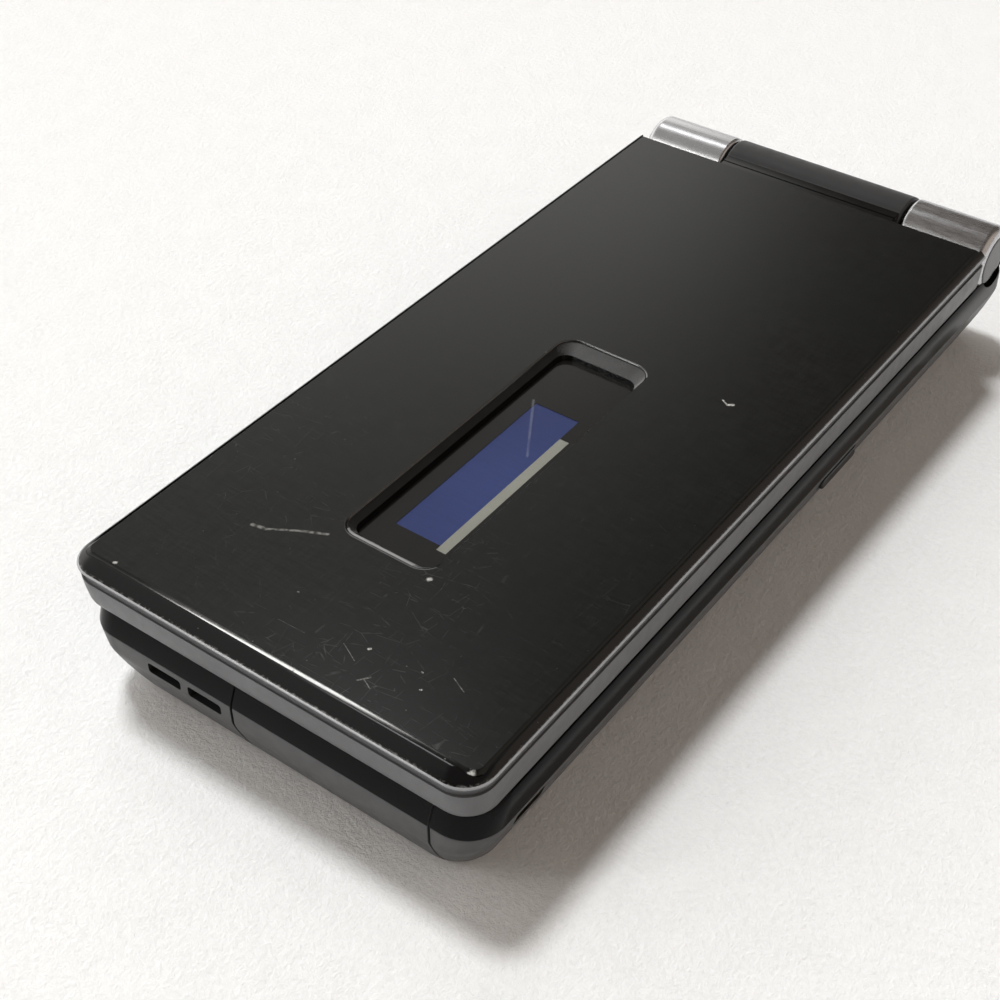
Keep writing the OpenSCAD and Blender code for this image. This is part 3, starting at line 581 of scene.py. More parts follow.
def metal(name, colour, roughness, brush, depth=0.002, edge=0.05):
    """Bare metal with a brushed or fine-turned surface. Brush stretches its lines on each axis."""
    f = Finish(name, colour, roughness, {"Metallic": 1.0})
    f.round_edges(edge)
    lines = f.noise(5.0, 3.0, stretch=brush)
    f.dull(f.remap(lines, 0.3, 0.7, roughness * 0.85, min(roughness * 1.2, 1.0)))
    f.paint(f.mix(f.remap(lines, 0.3, 0.7, 0, 1), f.shade_of(0.93), f.shade_of(1.06)))
    f.bump(lines, depth, 0.4)
    return f.material


# Marks of the top plate, in millimetres: both ends, width and, for some, how fine they break up
SCRATCHES = (
    ((-13.1, -41.7), (-11.6, -41.4), 0.28, 2.0), ((-11.6, -41.4), (-8.6, -39.6), 0.19, 2.0),
    ((-8.6, -39.6), (-6.1, -38.4), 0.22, 2.0), ((8.7, -51.6), (9.5, -50.6), 0.10),
    ((9.1, -51.1), (10.3, -51.7), 0.06), ((15.6, -46.3), (17.3, -47.1), 0.06),
    ((4.8, -48.8), (7.0, -49.9), 0.05), ((-2.2, -50.0), (1.0, -49.9), 0.015, 1.2),
)
PITS = (
    ((5.85, -37.6), (5.95, -37.5), 0.32), ((-20.1, -53.6), (-20.0, -53.5), 0.24),
    ((15.1, 2.5), (15.5, 2.8), 0.26), ((14.2, 2.9), (14.9, 2.5), 0.12),
    ((7.1, -48.0), (7.2, -47.9), 0.18), ((14.0, -49.2), (14.1, -49.1), 0.12),
    ((12.8, -47.4), (12.9, -47.4), 0.10), ((-3.1, -46.2), (-3.0, -46.2), 0.11),
)
# Middle of the pale patch painted at the near right corner of the plate's edge.
PALE_CORNER_PATCH = (23.3, -54.1, PLATE_TOP)


def plate_finish():
    """Dark anodised metal, brushed both ways, with the wear of a carried phone."""
    f = Finish("plate brushed", colours().plate, 0.22, {"Specular IOR Level": 0.24})
    long_lines = f.noise(5.0, 2.0, stretch=(1.0, 0.06, 1))
    cross_lines = f.noise(5.0, 2.0, stretch=(0.08, 1.0, 1))
    lines = f.calc("ADD", f.calc("MULTIPLY", long_lines, 0.4), f.calc("MULTIPLY", cross_lines, 0.6))
    shade = f.mix(f.remap(lines, 0.38, 0.62, 0, 1), f.shade_of(0.8), f.shade_of(1.25))
    shade = f.mix(f.remap(f.noise(0.05, 2.0), 0.35, 0.65, 0, 0.6), shade, (0.0044, 0.0053, 0.0052, 1.0))
    hair = f.together([f.hairlines(0.20, 0.012, (0.5, 2.2, 1), 24),
                       f.hairlines(0.26, 0.012, (2.0, 0.45, 1), -14),
                       f.hairlines(0.23, 0.012, (0.5, 2.6, 1), 68)])
    where = f.calc("MULTIPLY", f.remap(f.noise(0.07, 2.0), 0.46, 0.62, 0.15, 1.0),
                   f.remap(f.axis(1), -20, -42, 0.2, 1.0))
    dots = f.together([f.specks(0.42, 0.05, chance=0.2), f.specks(0.9, 0.07, chance=0.12)])
    marks = f.together([f.scratch(*mark) for mark in SCRATCHES])
    pits = f.together([f.scratch(*pit) for pit in PITS])
    shade = f.mix(f.calc("MULTIPLY", f.calc("MULTIPLY", hair, where), 0.08), shade, (0.5, 0.52, 0.5, 1.0))
    shade = f.mix(f.calc("MULTIPLY", f.calc("MULTIPLY", dots, where), 0.3), shade, (0.6, 0.6, 0.58, 1.0))
    shade = f.mix(f.calc("MULTIPLY", marks, 0.26), shade, (0.62, 0.61, 0.58, 1.0))
    shade = f.mix(f.calc("MULTIPLY", pits, 0.65), shade, (0.72, 0.71, 0.68, 1.0))
    f.paint(shade)
    f.dull(f.remap(lines, 0.34, 0.66, 0.19, 0.25))
    f.bump(lines, 0.0008, 0.3)
    return f.material


def polished_edge_finish():
    """The cut edge round the plate: its specular level is highest in the middle and falls away, a painted
    fade of the highlight toward both ends. Pale chips of bare metal along it also paint the edge's dotted
    glints, and a pale patch lies at its near right corner.
    """
    f = Finish("plate edge polished", colours().plate, 0.11, {"IOR": 1.7})
    chips_and_glints = f.calc("MULTIPLY", f.specks(2.2, 0.22, chance=0.25),
                  f.remap(f.noise(0.09, 1.0), 0.5, 0.6, 0.0, 1.0))
    corner = f.node("ShaderNodeVectorMath", {0: f.place(), 1: PALE_CORNER_PATCH},
                    operation="DISTANCE").outputs["Value"]
    corner_patch = f.calc("MULTIPLY", f.remap(corner, 0.62, 0.3, 0.0, 1.0),
                  f.remap(f.noise(3.0, 2.0), 0.4, 0.55, 0.0, 1.0))
    # Pale chips of bare metal, which also paint the edge's dotted glints, joined with the pale corner patch.
    worn = f.together([chips_and_glints, corner_patch])
    f.paint(f.mix(worn, f.shade_of(1.0), PALE_DUST))
    # Specular level falls from 0.9 near x = 1 mm to 0.15 beyond 17 mm, so the highlight fades toward both
    # ends of the edge: a painted highlight shape.
    across = f.calc("ABSOLUTE", f.calc("SUBTRACT", f.axis(0), 1.0), 0.0)
    f.dull(f.remap(f.noise(1.4, 3.0), 0.3, 0.7, 0.08, 0.14))
    f.tree.links.new(f.remap(across, 8.0, 17.0, 0.9, 0.15), f.shader.inputs["Specular IOR Level"])
    f.bump(worn, 0.03, 0.6)
    return f.material


def lens_finish():
    """Clear thin window, scratched once across: light and shadow pass straight through it."""
    f = Finish("lens clear", (0.01, 0.01, 0.01), 0.03)
    clear = f.node("ShaderNodeBsdfTransparent", {"Color": (0.8, 0.8, 0.8, 1.0)}).outputs[0]
    scratch = f.scratch((2.4, -16.7), (-2.6, -8.6), 0.2, 0.5, LENS_TOP)
    haze = f.node("ShaderNodeBsdfDiffuse", {"Color": (0.55, 0.58, 0.66, 1.0)}).outputs[0]
    worn = f.node("ShaderNodeMixShader", {0: f.calc("MULTIPLY", scratch, 0.1), 1: clear, 2: haze})
    f.tree.links.new(worn.outputs[0], f.tree.nodes["Material Output"].inputs["Surface"])
    return f.material


def panel_finish():
    """Unlit outer display: a violet-blue field of fine lines."""
    f = Finish("outer display panel", colours().panel, 0.12, {"Specular IOR Level": 0.36})
    field = f.noise(0.05, 1.0)
    lines = f.noise(4.0, 1.0, stretch=(0.05, 2.0, 1))
    shade = f.mix(f.remap(field, 0.3, 0.7, 0, 1), f.shade_of(0.88), f.shade_of(1.15))
    f.paint(f.mix(f.remap(lines, 0.4, 0.6, 0, 0.2), shade, f.shade_of(0.7)))
    f.bump(lines, 0.002, 0.3)
    return f.material


def bevel_finish():
    """Glossy black of the lid's frame, with dust caught along the seam of the rim."""
    f = Finish("bevel gloss black", colours().gloss, 0.11, {"Specular IOR Level": 0.32})
    f.round_edges(0.05)
    f.dull(f.remap(f.noise(0.7, 4.0), 0.3, 0.7, 0.09, 0.14))
    seam = f.remap(f.axis(2), RIM_Z + 0.16, RIM_Z + 0.04, 0.0, 1.0)
    grit = f.remap(f.noise(3.2, 3.0), 0.5, 0.62, 0.0, 1.0)
    specks = f.calc("MULTIPLY", f.specks(0.9, 0.05, chance=0.3), 0.25)
    dust = f.calc("MULTIPLY", f.calc("MULTIPLY", seam, grit), 0.3)
    f.paint(f.mix(dust, f.mix(specks, f.shade_of(1.0), PALE_DUST), (0.42, 0.41, 0.38, 1.0)))
    return f.material


def board_finish():
    """Circuit board: solder mask with fine tracks and small pads."""
    f = Finish("circuit board", (0.010, 0.075, 0.035), 0.35)
    tracks = f.node("ShaderNodeTexBrick", {
        "Vector": f.place(), "Scale": 0.55, "Mortar Size": 0.05, "Color1": (0.4, 0.4, 0.4, 1),
        "Color2": (0.6, 0.6, 0.6, 1), "Mortar": (1, 1, 1, 1)}).outputs["Fac"]
    pads = f.specks(0.9, 0.22, chance=0.3)
    shade = f.mix(f.calc("MULTIPLY", tracks, 0.6), f.shade_of(1.0), (0.03, 0.16, 0.07, 1.0))
    f.paint(f.mix(pads, shade, (0.62, 0.48, 0.2, 1.0)))
    f.bump(f.together([tracks, pads]), 0.03, 0.5)
    return f.material


def window_finish():
    """Dark glass over an unlit picture area, with a printed border."""
    f = Finish("window glass", (0.004, 0.004, 0.005), 0.05,
               {"Specular IOR Level": 0.5, "Coat Weight": 0.3, "Coat Roughness": 0.03})
    f.round_edges(0.05)
    x0, x1 = (v + d for v, d in zip(span("main_display_module", 0), (0.8, -0.8)))
    y0, y1 = (v + d for v, d in zip(span("main_display_module", 1), (0.8, -0.8)))
    split = f.node("ShaderNodeSeparateXYZ", {0: f.place()})
    across = f.node("ShaderNodeMath", {0: split.outputs[0]}, operation="ABSOLUTE").outputs[0]
    along = f.node("ShaderNodeMath", {0: f.calc("SUBTRACT", split.outputs[1], (y0 + y1) / 2)},
                   operation="ABSOLUTE").outputs[0]
    inside = f.calc("MULTIPLY", f.remap(across, (x1 - x0) / 2, (x1 - x0) / 2 - 0.1, 0.0, 1.0),
                   f.remap(along, (y1 - y0) / 2, (y1 - y0) / 2 - 0.1, 0.0, 1.0))
    grid = f.noise(3.0, 1.0)
    picture = f.mix(f.remap(grid, 0.3, 0.7, 0.0, 1.0), (0.011, 0.012, 0.017, 1.0),
                    (0.016, 0.018, 0.024, 1.0))
    f.paint(f.mix(inside, f.shade_of(1.0), picture))
    f.dull(f.remap(f.noise(0.3, 3.0), 0.35, 0.7, 0.04, 0.09))
    f.bump(f.noise(0.06, 1.0), 0.003, 0.2)
    return f.material


def mesh_finish():
    """Fine woven metal over a speaker."""
    f = Finish("speaker mesh", (0.10, 0.10, 0.105), 0.4, {"Metallic": 0.8})
    split = f.node("ShaderNodeSeparateXYZ", {0: f.place()})
    waves = [f.node("ShaderNodeMath", {0: f.calc("MULTIPLY", split.outputs[i], 22.0)},
                    operation="SINE").outputs[0] for i in (0, 1)]
    weave = f.remap(f.calc("MULTIPLY", *waves), -0.2, 0.5, 1.0, 0.0)
    f.paint(f.mix(weave, (0.008, 0.008, 0.008, 1.0), f.shade_of(1.3)))
    f.bump(weave, 0.04, 0.6)
    return f.material


FINISHES = {}


def finish(name):
    """A finish by its name, built once."""
    if name not in FINISHES:
        FINISHES[name] = RECIPES[name]()
    return FINISHES[name]


RECIPES = {
    "plate": plate_finish,
    "plate_edge": polished_edge_finish,
    "gloss": lambda: plastic("gloss black", colours().gloss, 0.11, edge=0.06, specular=0.32, dust=0.25),
    "bevel": bevel_finish,
    "deck": lambda: plastic("deck black", colours().gloss, 0.14, edge=0.06, specular=0.1, dust=0.25),
    "satin": lambda: plastic("satin grey", colours().satin, 0.46, 0.004, edge=0.12, specular=0.35),
    "band": lambda: plastic("satin band", colours().band, 0.40, 0.003, edge=0.08, specular=0.35),
    # A darker copy of the band's colour on the undercut below the rim: painted shade.
    "rim": lambda: plastic("rim satin painted shade", tuple(c * 0.92 for c in colours().band), 0.34, 0.003, edge=0.08,
                           specular=0.4),
    # A lighter copy of the band's colour on the rim's rounded top: painted highlight, added to the edge's
    # real gloss.
    "rim_edge": lambda: plastic("rim edge painted highlight", tuple(c * 2.4 for c in colours().band), 0.18, 0.002,
                                edge=0.02, specular=1.0),
    "bezel": lambda: plastic("bezel satin black", (0.008, 0.008, 0.009), 0.26, edge=0.0, specular=1.0),
    "inner": lambda: plastic("inner black", (0.012, 0.012, 0.013), 0.6, 0.006, specular=0.3),
    "lens": lens_finish,
    # Pale grey on the left part of the window's near lip: painted highlight along that edge.
    "lip": lambda: plastic("window lip painted highlight", (0.2, 0.2, 0.2), 0.3, edge=0.0),
    "panel": panel_finish,
    "strip": lambda: plastic("panel frame pale", colours().strip, 0.5, 0.003, edge=0.02),
    "mask": lambda: plastic("panel mask dark", (0.011, 0.0105, 0.0098), 0.12, edge=0.0, specular=0.44),
    # Darker and duller than the bezel: painted shade on the left slope of the window's frame.
    "well": lambda: plastic("window side painted shade", (0.004, 0.004, 0.004), 0.4, edge=0.0, specular=0.3),
    "display": lambda: plastic("display dark", (0.012, 0.013, 0.017), 0.3, 0.001, specular=0.4),
    "key": lambda: plastic("key satin", (0.035, 0.036, 0.038), 0.34, 0.003, edge=0.03, specular=0.4),
    "legend": lambda: plastic("legend pale", colours().legend, 0.4, 0.001, edge=0.01),
    "green": lambda: plastic("legend green", (0.05, 0.42, 0.14), 0.4, 0.001, edge=0.01),
    "red": lambda: plastic("legend red", (0.52, 0.03, 0.03), 0.4, 0.001, edge=0.01),
    "knuckle": lambda: metal("knuckle silver", (0.52, 0.52, 0.535), 0.27, (0.1, 1, 1), 0.0004, 0.1),
    "barrel": lambda: plastic("barrel satin black", (0.022, 0.022, 0.023), 0.44, 0.003, edge=0.1,
                              specular=0.4),
    "nav": lambda: metal("ring satin metal", colours().metal, 0.3, (1, 1, 1), 0.001),
    "battery": lambda: plastic("battery wrap", (0.035, 0.037, 0.045), 0.38, 0.002, edge=0.3),
    "board": board_finish,
    "window": window_finish,
    "mesh": mesh_finish,
    "steel": lambda: metal("steel", (0.55, 0.55, 0.57), 0.28, (1, 0.15, 1)),
    "gold": lambda: metal("gold contact", (0.75, 0.52, 0.2), 0.22, (0.2, 1, 1)),
    "rubber": lambda: plastic("pad rubber", (0.018, 0.018, 0.018), 0.75, 0.01, specular=0.25),
    "film": lambda: plastic("flexible circuit", (0.42, 0.17, 0.03), 0.32, 0.001, specular=0.5),
    "amber": lambda: plastic("flash diffuser", (0.75, 0.70, 0.48), 0.3, 0.003, specular=0.5),
    "cream": lambda: plastic("dome carrier", (0.62, 0.60, 0.52), 0.5, 0.003),
}


# ---- lid ------------------------------------------------------------------------------------

def lid_plan(side, front):
    """Outline of the lid, inset from its sides and its free end, nearly square at the hinge."""
    return plan(HALF_W - side, FRONT_Y + front, LID_BACK, LID_R, 0.25)


def lid_room():
    """Outline of the room inside the lid."""
    return plan(HALF_W - LID_WALL, FRONT_Y + LID_WALL, LID_BACK - WALL, 2.0)


def lens_plan(gap):
    """Outline of the outer display's window, made wider by a gap."""
    return small_plan(LENS_X, LENS_Y, LENS_W + 2 * gap, LENS_L + 2 * gap, max(2.0 + gap, 0.4), 10)


def window_plan(inset, r):
    """Outline of the main display's glass, inset from its edge."""
    return small_plan(0, (WINDOW_Y0 + WINDOW_Y1) / 2, WINDOW_W - 2 * inset, WINDOW_Y1 - WINDOW_Y0 - 2 * inset,
                      r, 8)


def lid_screw_circles(r, steps=48):
    """Circles of one radius at the four screws of the lid."""
    y0, y1 = span("lid_screws", 1)
    return [circle(x * LID_SCREW_X, y, r, steps)
            for x in (-1, 1) for y in (y0 + SCREW_HEAD_R, y1 - SCREW_HEAD_R)]


def make_outer_case():
    """Glossy frame of the lid: a short undercut, the rim and the bowed bevel round the plate."""
    rim = size_of("rim_round")
    rings = []
    for i in range(9):
        t = i / 8
        inset = 0.35 * (1 - t * t)
        rings.append((lid_plan(inset, inset), LID_SEAM + t * (RIM_Z - rim - LID_SEAM)))
    for a in quarter(5)[:-1]:
        inset = rim * (1 - math.cos(a))
        rings.append((lid_plan(inset, inset), RIM_Z - rim + rim * math.sin(a)))
    for i in range(13):
        t = (i / 12) ** 1.5
        share = t ** 1.4
        rings.append((lid_plan(rim + (BEVEL_SIDE - PLATE_LIP - rim) * share,
                               rim + (BEVEL_FRONT - PLATE_LIP - rim) * share),
                      RIM_Z + 0.02 + t * (BEVEL_Z - RIM_Z - 0.02)))
    bm = loft(rings)
    for face in bm.faces:
        z = face.calc_center_median().z
        # Undercut faces take the darker copy of the band (slot 2, painted shade); the rim's rounded top takes
        # a lighter one (slot 4).
        if z < RIM_Z + 0.01 and abs(face.normal.z) < 0.999:
            # Slot 4 on the rim's rounded top edge carries the painted highlight.
            face.material_index = 2 if z < RIM_Z - rim else 4
    obj = new_object("lid_frame_shell", bm, finish("bevel"), finish("inner"), finish("rim"),
                     finish("barrel"), finish("rim_edge"))
    carve(obj, prisms([lid_room()], LID_SEAM - 1, PLATE_Z - 1), 1)
    fuse(obj, bar(rounded_stations(-BARREL_HALF, BARREL_HALF, BARREL_R, 0.35, 0.35)), 3)
    fuse(obj, block(-BARREL_HALF + 0.4, BARREL_HALF - 0.4, LID_BACK - 1, HINGE_Y, LID_SEAM + 0.01,
                    PLATE_Z + 0.08))
    fuse(obj, prisms(lid_screw_circles(1.9), LID_SEAM - 1.65, PLATE_Z - 0.9), 1)
    seat = plan(HALF_W - BEVEL_SIDE + 0.03, FRONT_Y + BEVEL_FRONT - 0.03, LID_BACK + 1, PLATE_R, 0.05)
    carve(obj, prisms([seat], PLATE_Z, BEVEL_Z + 1))
    carve(obj, prisms([lens_plan(LENS_GAP)], LENS_LOW, PLATE_Z + 1))
    carve(obj, prisms([lens_plan(-1.0)], PLATE_Z - 2, PLATE_Z + 1))
    carve(obj, bar([(-BARREL_HALF + 5, 3.2), (BARREL_HALF - 5, 3.2)], 48), 1)
    carve(obj, bar([(-BARREL_HALF - 1, 1.42), (BARREL_HALF + 1, 1.42)], 48), 1)
    carve(obj, prisms(lid_screw_circles(0.7, 24), LID_SEAM - 2, PLATE_Z - 0.7), 1)
    shade(obj)
    done(obj, "lid", "gloss_black", "lid_outer_case")


def make_plate():
    """Brushed top plate with a polished edge, and the well for the outer display."""
    e = size_of("crease")

    def ring(inset, z):
        """Outline of the plate, inset from its own edge."""
        return (plan(HALF_W - BEVEL_SIDE - inset, FRONT_Y + BEVEL_FRONT + inset, LID_BACK - 0.25 - inset,
                     PLATE_R - inset * 0.5, max(0.3 - inset * 0.5, 0.1)), z)

    rings = [ring(0, PLATE_Z), ring(0, PLATE_TOP - e)]
    tilt, bow = math.radians(38), math.radians(6)
    radius = e / (2 * math.sin(bow) * math.sin(tilt))
    for i in range(1, 9):
        a = tilt + bow - 2 * bow * i / 8
        rings.append(ring(radius * (math.sin(tilt + bow) - math.sin(a)),
                          PLATE_TOP - e + radius * (math.cos(a) - math.cos(tilt + bow))))
    bm = bmesh.new()
    add_loft(bm, rings, 1, 0)
    obj = new_object("top_plate_brushed", bm, finish("plate"), finish("plate_edge"))
    roll = 0.2
    well = [(lens_plan(LENS_GAP), PLATE_Z - 1), (lens_plan(LENS_GAP), PLATE_TOP - roll)]
    for a in quarter(5):
        well.append((lens_plan(LENS_GAP + roll * (1 - math.cos(a))), PLATE_TOP - roll + roll * math.sin(a)))
    well.append((lens_plan(LENS_GAP + roll), PLATE_TOP + 1))
    right_edge = LENS_X + LENS_W / 2 + 0.17
    carve(obj, loft([([(min(x, right_edge), y) for x, y in points], z) for points, z in well]), 1)
    shade(obj, 50)
    done(obj, "lid", "plate", "lid_top_plate")


def make_inner_case():
    """Satin band under the rim and the face around the main display."""
    rings = []
    for t in (0, 0.02, 0.045, 0.08, 0.12, 0.18, 0.26, 0.38, 0.5, 0.64, 0.8, 0.92, 1):
        lean, edge = (1 - t) ** 1.4, (1 - t) ** 12
        rings.append((lid_plan(0.15 + 0.2 * lean + 0.1 * edge, 0.15 + 0.4 * lean + 0.25 * edge),
                      LID_LOW + t * (LID_SEAM - 0.01 - LID_LOW)))
    obj = new_object("lid_display_shell", loft(rings), finish("band"), finish("inner"))
    floor_z = WINDOW_TOP + 0.6
    carve(obj, prisms([lid_room()], floor_z, LID_SEAM + 1), 1)
    carve(obj, prisms([window_plan(-0.1, 1.7)], LID_LOW - 1, WINDOW_TOP))
    carve(obj, prisms([window_plan(1.6, 0.8)], LID_LOW, floor_z + 1), 1)
    carve(obj, prisms(lid_screw_circles(1.55), LID_LOW - 1, LID_LOW + 1.05))
    carve(obj, prisms(lid_screw_circles(0.85, 24), LID_LOW, floor_z + 1), 1)
    mouth, throat = small_plan(0, EAR_Y, 9.5, 1.4, 0.69), small_plan(0, EAR_Y, 9, 0.9, 0.44)
    carve(obj, loft([(mouth, LID_LOW - 0.5), (mouth, LID_LOW), (throat, LID_LOW + 0.3),
                     (throat, floor_z + 1)]))
    shade(obj)
    done(obj, "lid", "satin_grey", "lid_inner_case")


def make_main_window():
    """Main display glass: a soft edge, a dark border and the unlit picture area."""
    rings = [(window_plan(inset, 1.6 - inset), z)
             for inset, z in ((0.12, WINDOW_LOW), (0.035, WINDOW_LOW + 0.035), (0, WINDOW_LOW + 0.12),
                              (0, WINDOW_TOP))]
    obj = new_object("main_display_glass", loft(rings), finish("window"))
    shade(obj, 50)
    done(obj, "lid", "display_glass", "main_display_window")


def add_display_frame(bm):
    """Frame from the hole in the plate down to the window: a lip, then a slope, widest at the far end."""
    half_w, half_l = LENS_W / 2, LENS_L / 2

    def outline(left, right, near, far, r):
        """Outline of the window with each side set in by its own amount."""
        return small_plan(LENS_X + (left - right) / 2, LENS_Y + (near - far) / 2,
                          2 * half_w - left - right, 2 * half_l - near - far, r, 10)

    outer = outline(-0.12, -0.12, -0.12, -0.12, 2.1)
    lip = outline(-0.08, -0.1, 0.28, -0.08, 1.9)
    inner = outline(0.85, 0.16, 0.6, 2.1, 1.5)
    lip_z = PLATE_TOP - 0.16
    low_z = LENS_LOW + 0.04
    rings = [(outer, low_z), (outer, PLATE_TOP - 0.05), (lip, lip_z)]
    for i in range(1, 6):
        t = i / 5
        rings.append(([(a[0] + (b[0] - a[0]) * t, a[1] + (b[1] - a[1]) * t) for a, b in zip(lip, inner)],
                      lip_z - (lip_z - LENS_TOP - 0.015) * t))
    rings += [(inner, LENS_TOP - 0.06), (inner, low_z)]
    layers = [[bm.verts.new((x, y, z)) for x, y in points] for points, z in rings]
    add_skin(bm, layers + layers[:1], 1)
    near_lip = LENS_Y - half_l + 0.4
    for face in bm.faces:
        at = face.calc_center_median()
        # The left part of the near lip takes the pale finish of slot 2: painted highlight.
        if abs(at.z - (PLATE_TOP - 0.105)) < 0.02 and at.y < near_lip and at.x < LENS_X + 1.2:
            face.material_index = 2
        # The left slope of the frame takes the darker finish of slot 4: painted shade of the shadowed left
        # wall.
        elif at.x < LENS_X - half_w + 1.2 and at.z < PLATE_TOP - 0.17 and at.y < LENS_Y + half_l - 2.4:
            face.material_index = 4


def make_outer_window():
    """Clear window of the outer display and, under it, its panel, pale frame and dark mask."""
    roll = 0.12
    rings = [(lens_plan(0), LENS_LOW + 0.02), (lens_plan(0), LENS_TOP - roll)]
    for a in quarter(4):
        rings.append((lens_plan(-roll * (1 - math.cos(a))), LENS_TOP - roll + roll * math.sin(a)))
    bm = loft(rings)
    add_display_frame(bm)
    split_x, near_y, far_y = 3.05, -31.9, -7.8
    print_z = LENS_LOW + 0.03
    border = new_object("window print", prisms([lens_plan(-0.05)], print_z, print_z + 0.03), finish("mask"))
    for ends in ((-2.55, split_x + 0.02, near_y - 0.4, far_y - 0.4),
                 (split_x, 4.25, near_y - 1.1, far_y - 3.9)):
        carve(border, block(*ends, print_z - 1, print_z + 1))
    add_shape(bm, border, 3)
    glass = new_object("outer_display_glass", bm, finish("lens"), finish("bezel"), finish("lip"),
                       finish("mask"), finish("well"))
    shade(glass, 50)
    done(glass, "lid", "lens", "sub_display_window")
    low, high = span("sub_display_module", 2)
    parts = bmesh.new()
    add_prism(parts, small_plan(LENS_X, LENS_Y, LENS_W - 0.6, LENS_L - 1.5, 0.8), low, high - 0.12, 2)
    add_block(parts, -3.3, split_x, near_y - 1, far_y + 1, high - 0.2, LENS_LOW + 0.005, 0)
    add_block(parts, split_x, 4.3, near_y - 1.2, far_y - 3.2, high - 0.2, LENS_LOW + 0.01, 1)
    panel = new_object("outer_display_panel", parts, finish("panel"), finish("strip"), finish("mask"))
    shade(panel)
    done(panel, "lid", "display", "sub_display_module")


# ---- base -----------------------------------------------------------------------------------

def base_plan(side, front, back):
    """Outline of the base, inset from its sides and both ends."""
    return plan(HALF_W - side, FRONT_Y + front, BACK_Y - back, CORNER_R, BACK_R)


def under_edge(z):
    """Rounding of the edge under the base."""
    return FOOT_ROUND * (1 - math.sqrt(1 - (1 - z / FOOT_ROUND) ** 2)) if z < FOOT_ROUND else 0.0


def seam_edge(z):
    """Rounding of the upper edge of the rear case, at the seam."""
    return 0.11 * max(0.0, 1 - (SEAM_Z - z) / 0.16) ** 2


def lower_rings():
    """Bowed side of the rear case, from the underside to the seam: nearly upright at the free end."""
    rings = []
    heights = [FOOT_ROUND * (1 - math.cos(a)) for a in quarter(7, 0)]
    heights += [FOOT_ROUND + (SEAM_Z - 0.16 - FOOT_ROUND) * i / 20 for i in range(1, 21)]
    heights += [SEAM_Z - 0.10, SEAM_Z - 0.05, SEAM_Z - 0.01]
    for z in heights:
        lean = (1 - z / SEAM_Z) ** 1.25
        turn = max(0.0, 1 - z / TURN_Z) ** 1.2

        def inset(seam, foot, share=lean):
            return seam + (foot - seam) * share + under_edge(z) + seam_edge(z)

        rings.append((base_plan(inset(SEAM_SIDE, FOOT_SIDE), inset(SEAM_FRONT, FOOT_FRONT, turn),
                                inset(0.0, FOOT_BACK)), z))
    return rings


def upper_rings():
    """Side of the front case, leaning back at the free end."""
    rings = []
    for t in (0, 0.12, 0.25, 0.38, 0.5, 0.6, 0.7, 0.78, 0.85, 0.9, 0.94, 0.97, 0.985, 1):
        edge = DECK_EDGE * t ** 6
        front = SEAM_FRONT + (DECK_FRONT - SEAM_FRONT) * t ** 1.15 + DECK_EDGE * t ** 10
        rings.append((base_plan(SEAM_SIDE + edge, front, edge), SEAM_Z + t * (DECK_Z - SEAM_Z)))
    return rings


def flap_block(gap, z0, z1, back=FLAP_BACK):
    """New mesh that holds the port flap, with a gap round it."""
    return block(FLAP_X0 - gap, FLAP_X1 + gap, FRONT_Y - 1, back + gap, z0, z1)


def base_screw_places():
    """Middles of the four screws of the base."""
    y0, y1 = span("base_screws", 1)
    return [(x * SCREW_X, y) for x in (-1, 1) for y in (y0 + SCREW_HEAD_R, y1 - SCREW_HEAD_R)]


def base_screw_circles(r, steps):
    """Circles of one radius at the four screws of the base."""
    return [circle(x, y, r, steps) for x, y in base_screw_places()]


def key_nodes():
    """Names of the nodes that are keys of the deck."""
    return [n for n in frame["nodes"] if n.startswith("key_") and n != "key_dome_sheet"]


def cap_box(name):
    """Middle and size of a key's cap, in millimetres. Its flange reaches further on every side."""
    (x0, x1), (y0, y1) = span(name, 0), span(name, 1)
    return (x0 + x1) / 2, (y0 + y1) / 2, x1 - x0 - 2 * FLANGE_OUT, y1 - y0 - 2 * FLANGE_OUT


